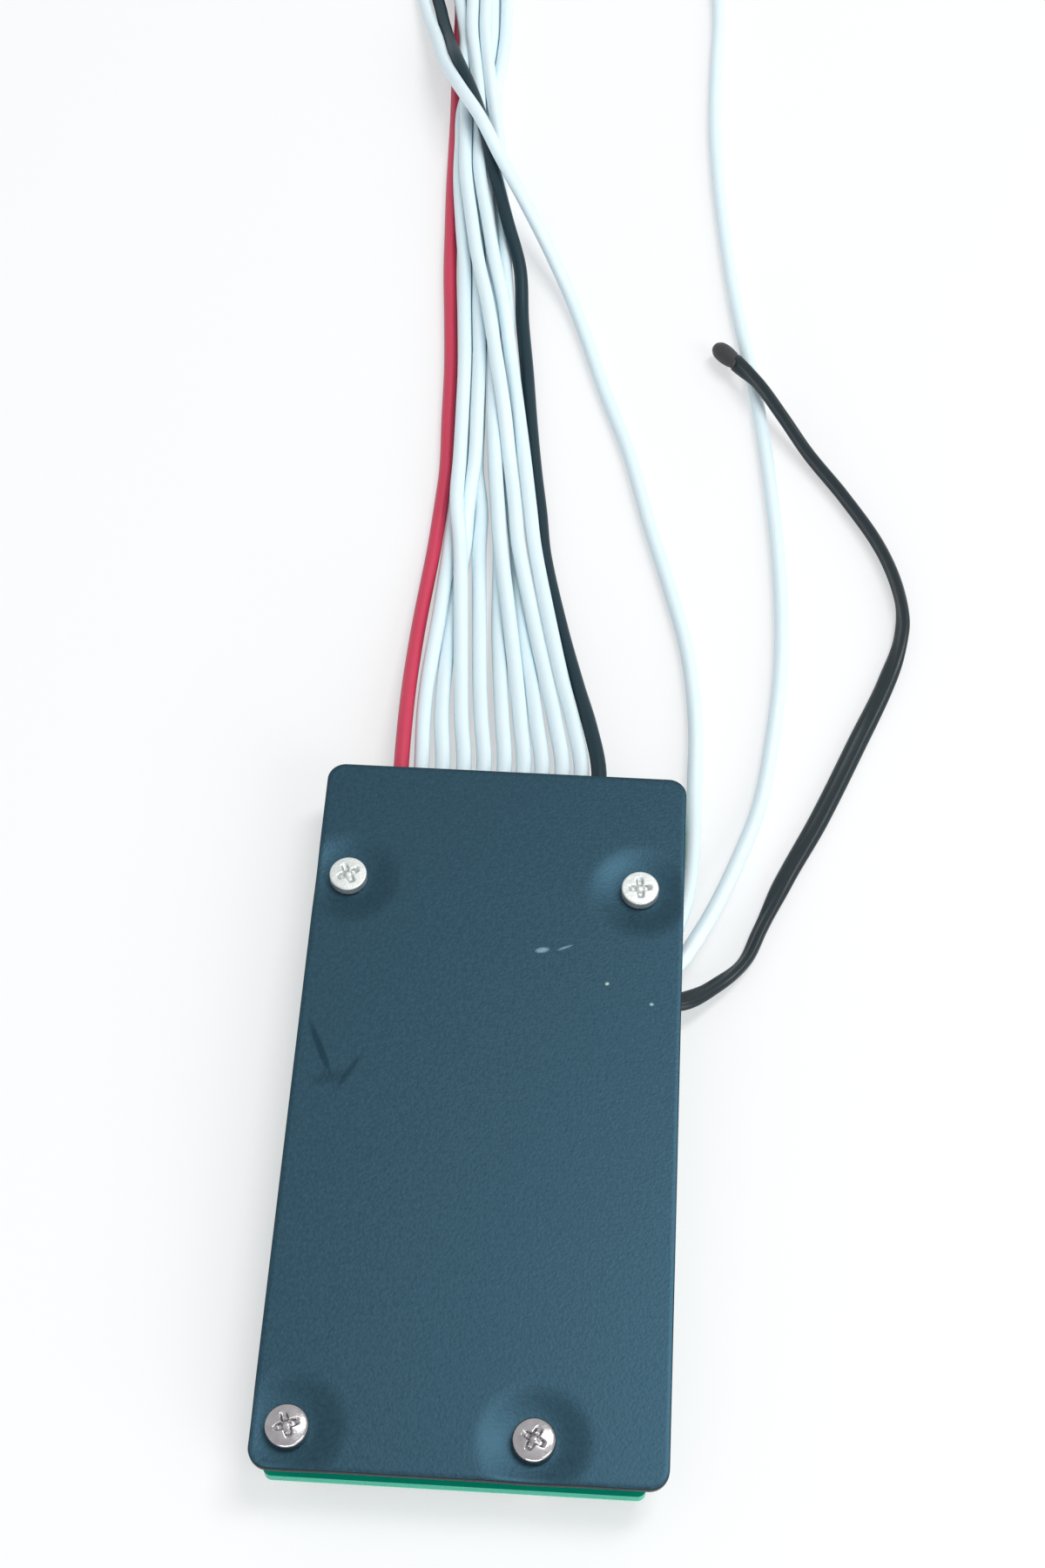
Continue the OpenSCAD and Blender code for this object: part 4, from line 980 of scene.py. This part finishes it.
capped_row("capacitors", CAPS, (1.25, 2, 1.1, 0.45), ["tan_ceramic", "solder"])
TRANSISTORS = [(BOARD_X + (k - 2) * 4.2, y) for y in (21.6, 18.0) for k in range(5)]
DIODES = [(-13, 1.4 - 2.8 * k) for k in range(4)]

made = Builder()
for x, y in TRANSISTORS:
    made.box(2.9, 1.3, 0.95, z=0.1, top=0.95, **hang(x, y))
    made.leg(0, 0.55, 0.65, 0.45, 0.42, 0.15, out=90, slot=1, **hang(x, y))
    for side in (-0.95, 0.95):
        made.leg(side, -0.55, 0.65, 0.45, 0.42, 0.15, out=-90, slot=1, **hang(x, y))
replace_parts(made.build("balance_transistor_bodies", PACKAGE), "balance_transistors")

made = Builder()
for x, y in DIODES:
    made.box(2.7, 1.6, 1, z=0.1, top=0.94, **hang(x, y))
    for out in (0, 180):
        made.leg(1.3 if out == 0 else -1.3, 0, 0.6, 0.4, 0.6, 0.15, out=out, slot=1, **hang(x, y))
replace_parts(made.build("diode_bodies", PACKAGE), "diodes")

# ---------------------------------------------------------------- solder joints

SENSE_X = [-11 + 2 * k for k in range(11)]
JOINT_Y, JACKET_Y, SIDE_X, SIDE_JACKET_X = 30.4, 33, 12.7, 14.6
# radius and height of the solder on each face, for a foot of CONE_R, from the bottom up
CONE_R = 0.85
LOW_CONE = [(0, 0.5), (0.26, 0.52), (0.38, 0.62), (0.4, 0.82), (0.43, 1.05), (0.5, 1.3),
            (0.64, 1.48), (0.85, 1.6)]
TOP_CONE = [(0.85, 3.2), (0.64, 3.32), (0.5, 3.5), (0.43, 3.7), (0.4, 3.85)]


def wire_joint(made, x, y, turn, run, pin, cone, wire_z):
    """A stripped wire that turns down through the board, with solder on both faces."""
    place = {"at": (x, y, 0), "turn": turn}
    for profile in (LOW_CONE, TOP_CONE):
        made.lathe([(r * cone / CONE_R, z) for r, z in profile], **place)
    bend = 0.3
    line = [(0, 3.2), (0, wire_z - bend)]
    line += [(bend * (1 - math.cos(a)), wire_z - bend + bend * math.sin(a)) for a in (0.5, 1.05)]
    line += [(bend, wire_z), (run, wire_z)]
    made.tube(line, pin, **place)


made = Builder()
for x in SENSE_X:
    wire_joint(made, x, JOINT_Y, 0, JACKET_Y - JOINT_Y, 0.4, CONE_R, 4.0)
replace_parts(made.build("sense_solder", ["solder"], smooth=True), "sense_joints")
made = Builder()
for y in (16.6, 14.4):
    wire_joint(made, SIDE_X, y, -90, SIDE_JACKET_X - SIDE_X, 0.4, CONE_R, 4.0)
for y in (11.575, 12.625):
    wire_joint(made, SIDE_X, y, -90, SIDE_JACKET_X - SIDE_X, 0.25, 0.48, 3.8)
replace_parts(made.build("side_solder", ["solder"], smooth=True), "side_joints")

# ---------------------------------------------------------------- copper on the board

made = Builder()
PADS, TRACKS, VIAS, INK = 0, 1, 2, 3
INK_H = 0.015


def land(x, y, w, l):
    made.box(w, l, 0.03, slot=PADS, **hang(x, y))


def track(route, width):
    made.ribbon(route, width, TRACKS)


for x in BALANCE:
    for side in (-1, 1):
        land(x, BALANCE_Y + side * 1.6, 1.75, 1.3)
for x in SHUNT_X:
    for side in (-1, 1):
        land(x + side * 3.0, SHUNT_Y, 1.9, 3.5)
for x, y in TRANSISTORS:
    land(x, y + 1.15, 0.9, 0.9)
    for side in (-0.95, 0.95):
        land(x + side, y - 1.15, 0.9, 0.9)
for x, y, _ in SMALL:
    for side in (-1, 1):
        land(x + side * 0.85, y, 0.75, 0.95)
for x, y, _ in CAPS:
    for side in (-1, 1):
        land(x + side * 1.0, y, 0.95, 1.4)
for x, y in DIODES:
    for side in (-1, 1):
        land(x + side * 1.75, y, 0.9, 1.0)

for k, x in enumerate(SENSE_X[:10]):
    track([(x, JOINT_Y), (x, 29.2), (BALANCE[k], 28.4), (BALANCE[k], 27.5)], 0.5)
for k, x in enumerate(BALANCE):
    tx, ty = TRANSISTORS[k // 2 + 5 * (k % 2)]
    turn_y, join_y = ((23.6, 23.2), (20.4, 19.8))[k % 2]
    track([(x, 24.3), (x, turn_y), (tx, join_y), (tx, ty + 1.2)], 0.4)
for k in range(12):
    px = MONITOR_X + (k - 5.5) * 0.5
    py = MONITOR_Y + (k - 5.5) * 0.5
    rx = -8.8 + 2.2 * (k % 8)
    low = 0.1 * k
    track([(px, 12.9), (px, 13.4), (px + (rx - px) * 0.35, 14.2)], 0.2)
    track([(-7.9, py), (-8.6, py), (-9.4, py + 0.4)], 0.2)
    track([(1.1, py), (1.7, py), (2.1, py + 0.2)], 0.2)
    track([(px, 3.9), (px, 3.0 - low), (px - 1.2, 1.8 - low), (px - 1.2, -1)], 0.2)
for k in range(4):
    gx = DRIVER_X + (k - 1.5) * 1.27
    fx = BOARD_X + (k - 1.5) * FET_PITCH
    track([(gx, 2.3), (gx, 0.4), (fx, -3.4), (fx, -7.4)], 0.3)
    track([(gx, 8.1), (gx, 9.4), (gx - 1.4, 10.6)], 0.3)
track([(12.7, 16.6), (11.2, 16.6), (10.4, 15.8)], 0.4)
track([(12.7, 14.4), (11.6, 14.4), (10.6, 13.4), (10.6, 11)], 0.4)
track([(12.7, 12.6), (14.6, 12.6), (14.6, 8), (13.4, 7.4)], 0.3)
for y in (-19.4, -7.4, -1.4):
    for k in range(14):
        made.lathe([(0.34, 0), (0.32, 0.02), (0.12, 0.015)], slot=VIAS, sides=12,
                   **hang(-12.6 + 1.8 * k, y))
for x, y in SCREWS:
    made.lathe([(2.72, 0), (2.7, 0.012), (1.3, 0.012)], slot=VIAS, sides=40, **hang(x, y))
for x in SENSE_X:
    made.lathe([(0.95, 0), (0.93, 0.02), (0.4, 0.02)], slot=PADS, sides=24, **hang(x, JOINT_Y))


def ink_frame(x, y, w, l):
    round_trip = ((-1, -1), (1, -1), (1, 1), (-1, 1), (-1, -1))
    corners = [(x + sx * w / 2, y + sy * l / 2) for sx, sy in round_trip]
    made.ribbon(corners, 0.13, INK, INK_H)


ink_frame(DRIVER_X, DRIVER_Y, 5.6, 7.6)
for x in BALANCE:
    made.ribbon([(x - 0.95, 25.3), (x - 0.95, 26.5)], 0.12, INK, INK_H)
for x, y in DIODES:
    ink_frame(x, y, 4.8, 2.1)
made.build("board_copper", ["solder", "trace", "gold", "ink"])
for node in ("power_pads", "solder_bars"):
    soften(frame["nodes"][node], 0.08, 2)

# ---------------------------------------------------------------- floor, light and world

bpy.ops.mesh.primitive_plane_add(size=6, location=(0, 0, 0))
floor = bpy.context.object
floor.name = "floor"
floor.data.materials.append(M["floor"])


def area_light(name, place, target, size, power, colour):
    data = bpy.data.lights.new(name, "AREA")
    data.shape = "RECTANGLE"
    data.size, data.size_y = size
    data.energy = power
    data.color = colour
    obj = bpy.data.objects.new(name, data)
    obj.location = place
    obj.rotation_euler = (Vector(target) - Vector(place)).to_track_quat("-Z", "Y").to_euler()
    bpy.context.scene.collection.objects.link(obj)


# name, place, target, size, power and colour: two lamps on the right and a low one in front
area_light("key", (0.27, 0.22, 0.78), (0.05, 0.08, 0), (0.18, 0.42), 3.1, (1.0, 0.99, 0.97))
area_light("fill", (0.60, -0.45, 0.45), (0, 0.05, 0), (0.5, 0.5), 2.4, (0.95, 0.98, 1.0))
area_light("front", (0.05, -0.60, 0.10), (0, -0.03, 0), (0.6, 0.12), 1.6, (1.0, 1.0, 1.0))

world = bpy.data.worlds.new("world")
bpy.context.scene.world = world
world.use_nodes = True
nodes, links = node_set(world)
nodes.clear()
output = nodes.new("ShaderNodeOutputWorld")
light = nodes.new("ShaderNodeBackground")
light.inputs["Color"].default_value = (0.93, 0.96, 1.0, 1)
light.inputs["Strength"].default_value = 0.5
white = nodes.new("ShaderNodeBackground")
white.inputs["Color"].default_value = (1, 1, 1, 1)
white.inputs["Strength"].default_value = 1.0
rays = nodes.new("ShaderNodeLightPath")
first = math_node(nodes, "MAXIMUM")
second = math_node(nodes, "MAXIMUM")
links.new(rays.outputs["Is Camera Ray"], first.inputs[0])
links.new(rays.outputs["Is Glossy Ray"], first.inputs[1])
links.new(first.outputs[0], second.inputs[0])
links.new(rays.outputs["Is Transmission Ray"], second.inputs[1])
pick = nodes.new("ShaderNodeMixShader")
links.new(second.outputs[0], pick.inputs["Fac"])
links.new(light.outputs[0], pick.inputs[1])
links.new(white.outputs[0], pick.inputs[2])
links.new(pick.outputs[0], output.inputs["Surface"])
bpy.context.scene.view_settings.view_transform = "Standard"

# ---------------------------------------------------------------- finish

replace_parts(hank_owner, "lead_hank")
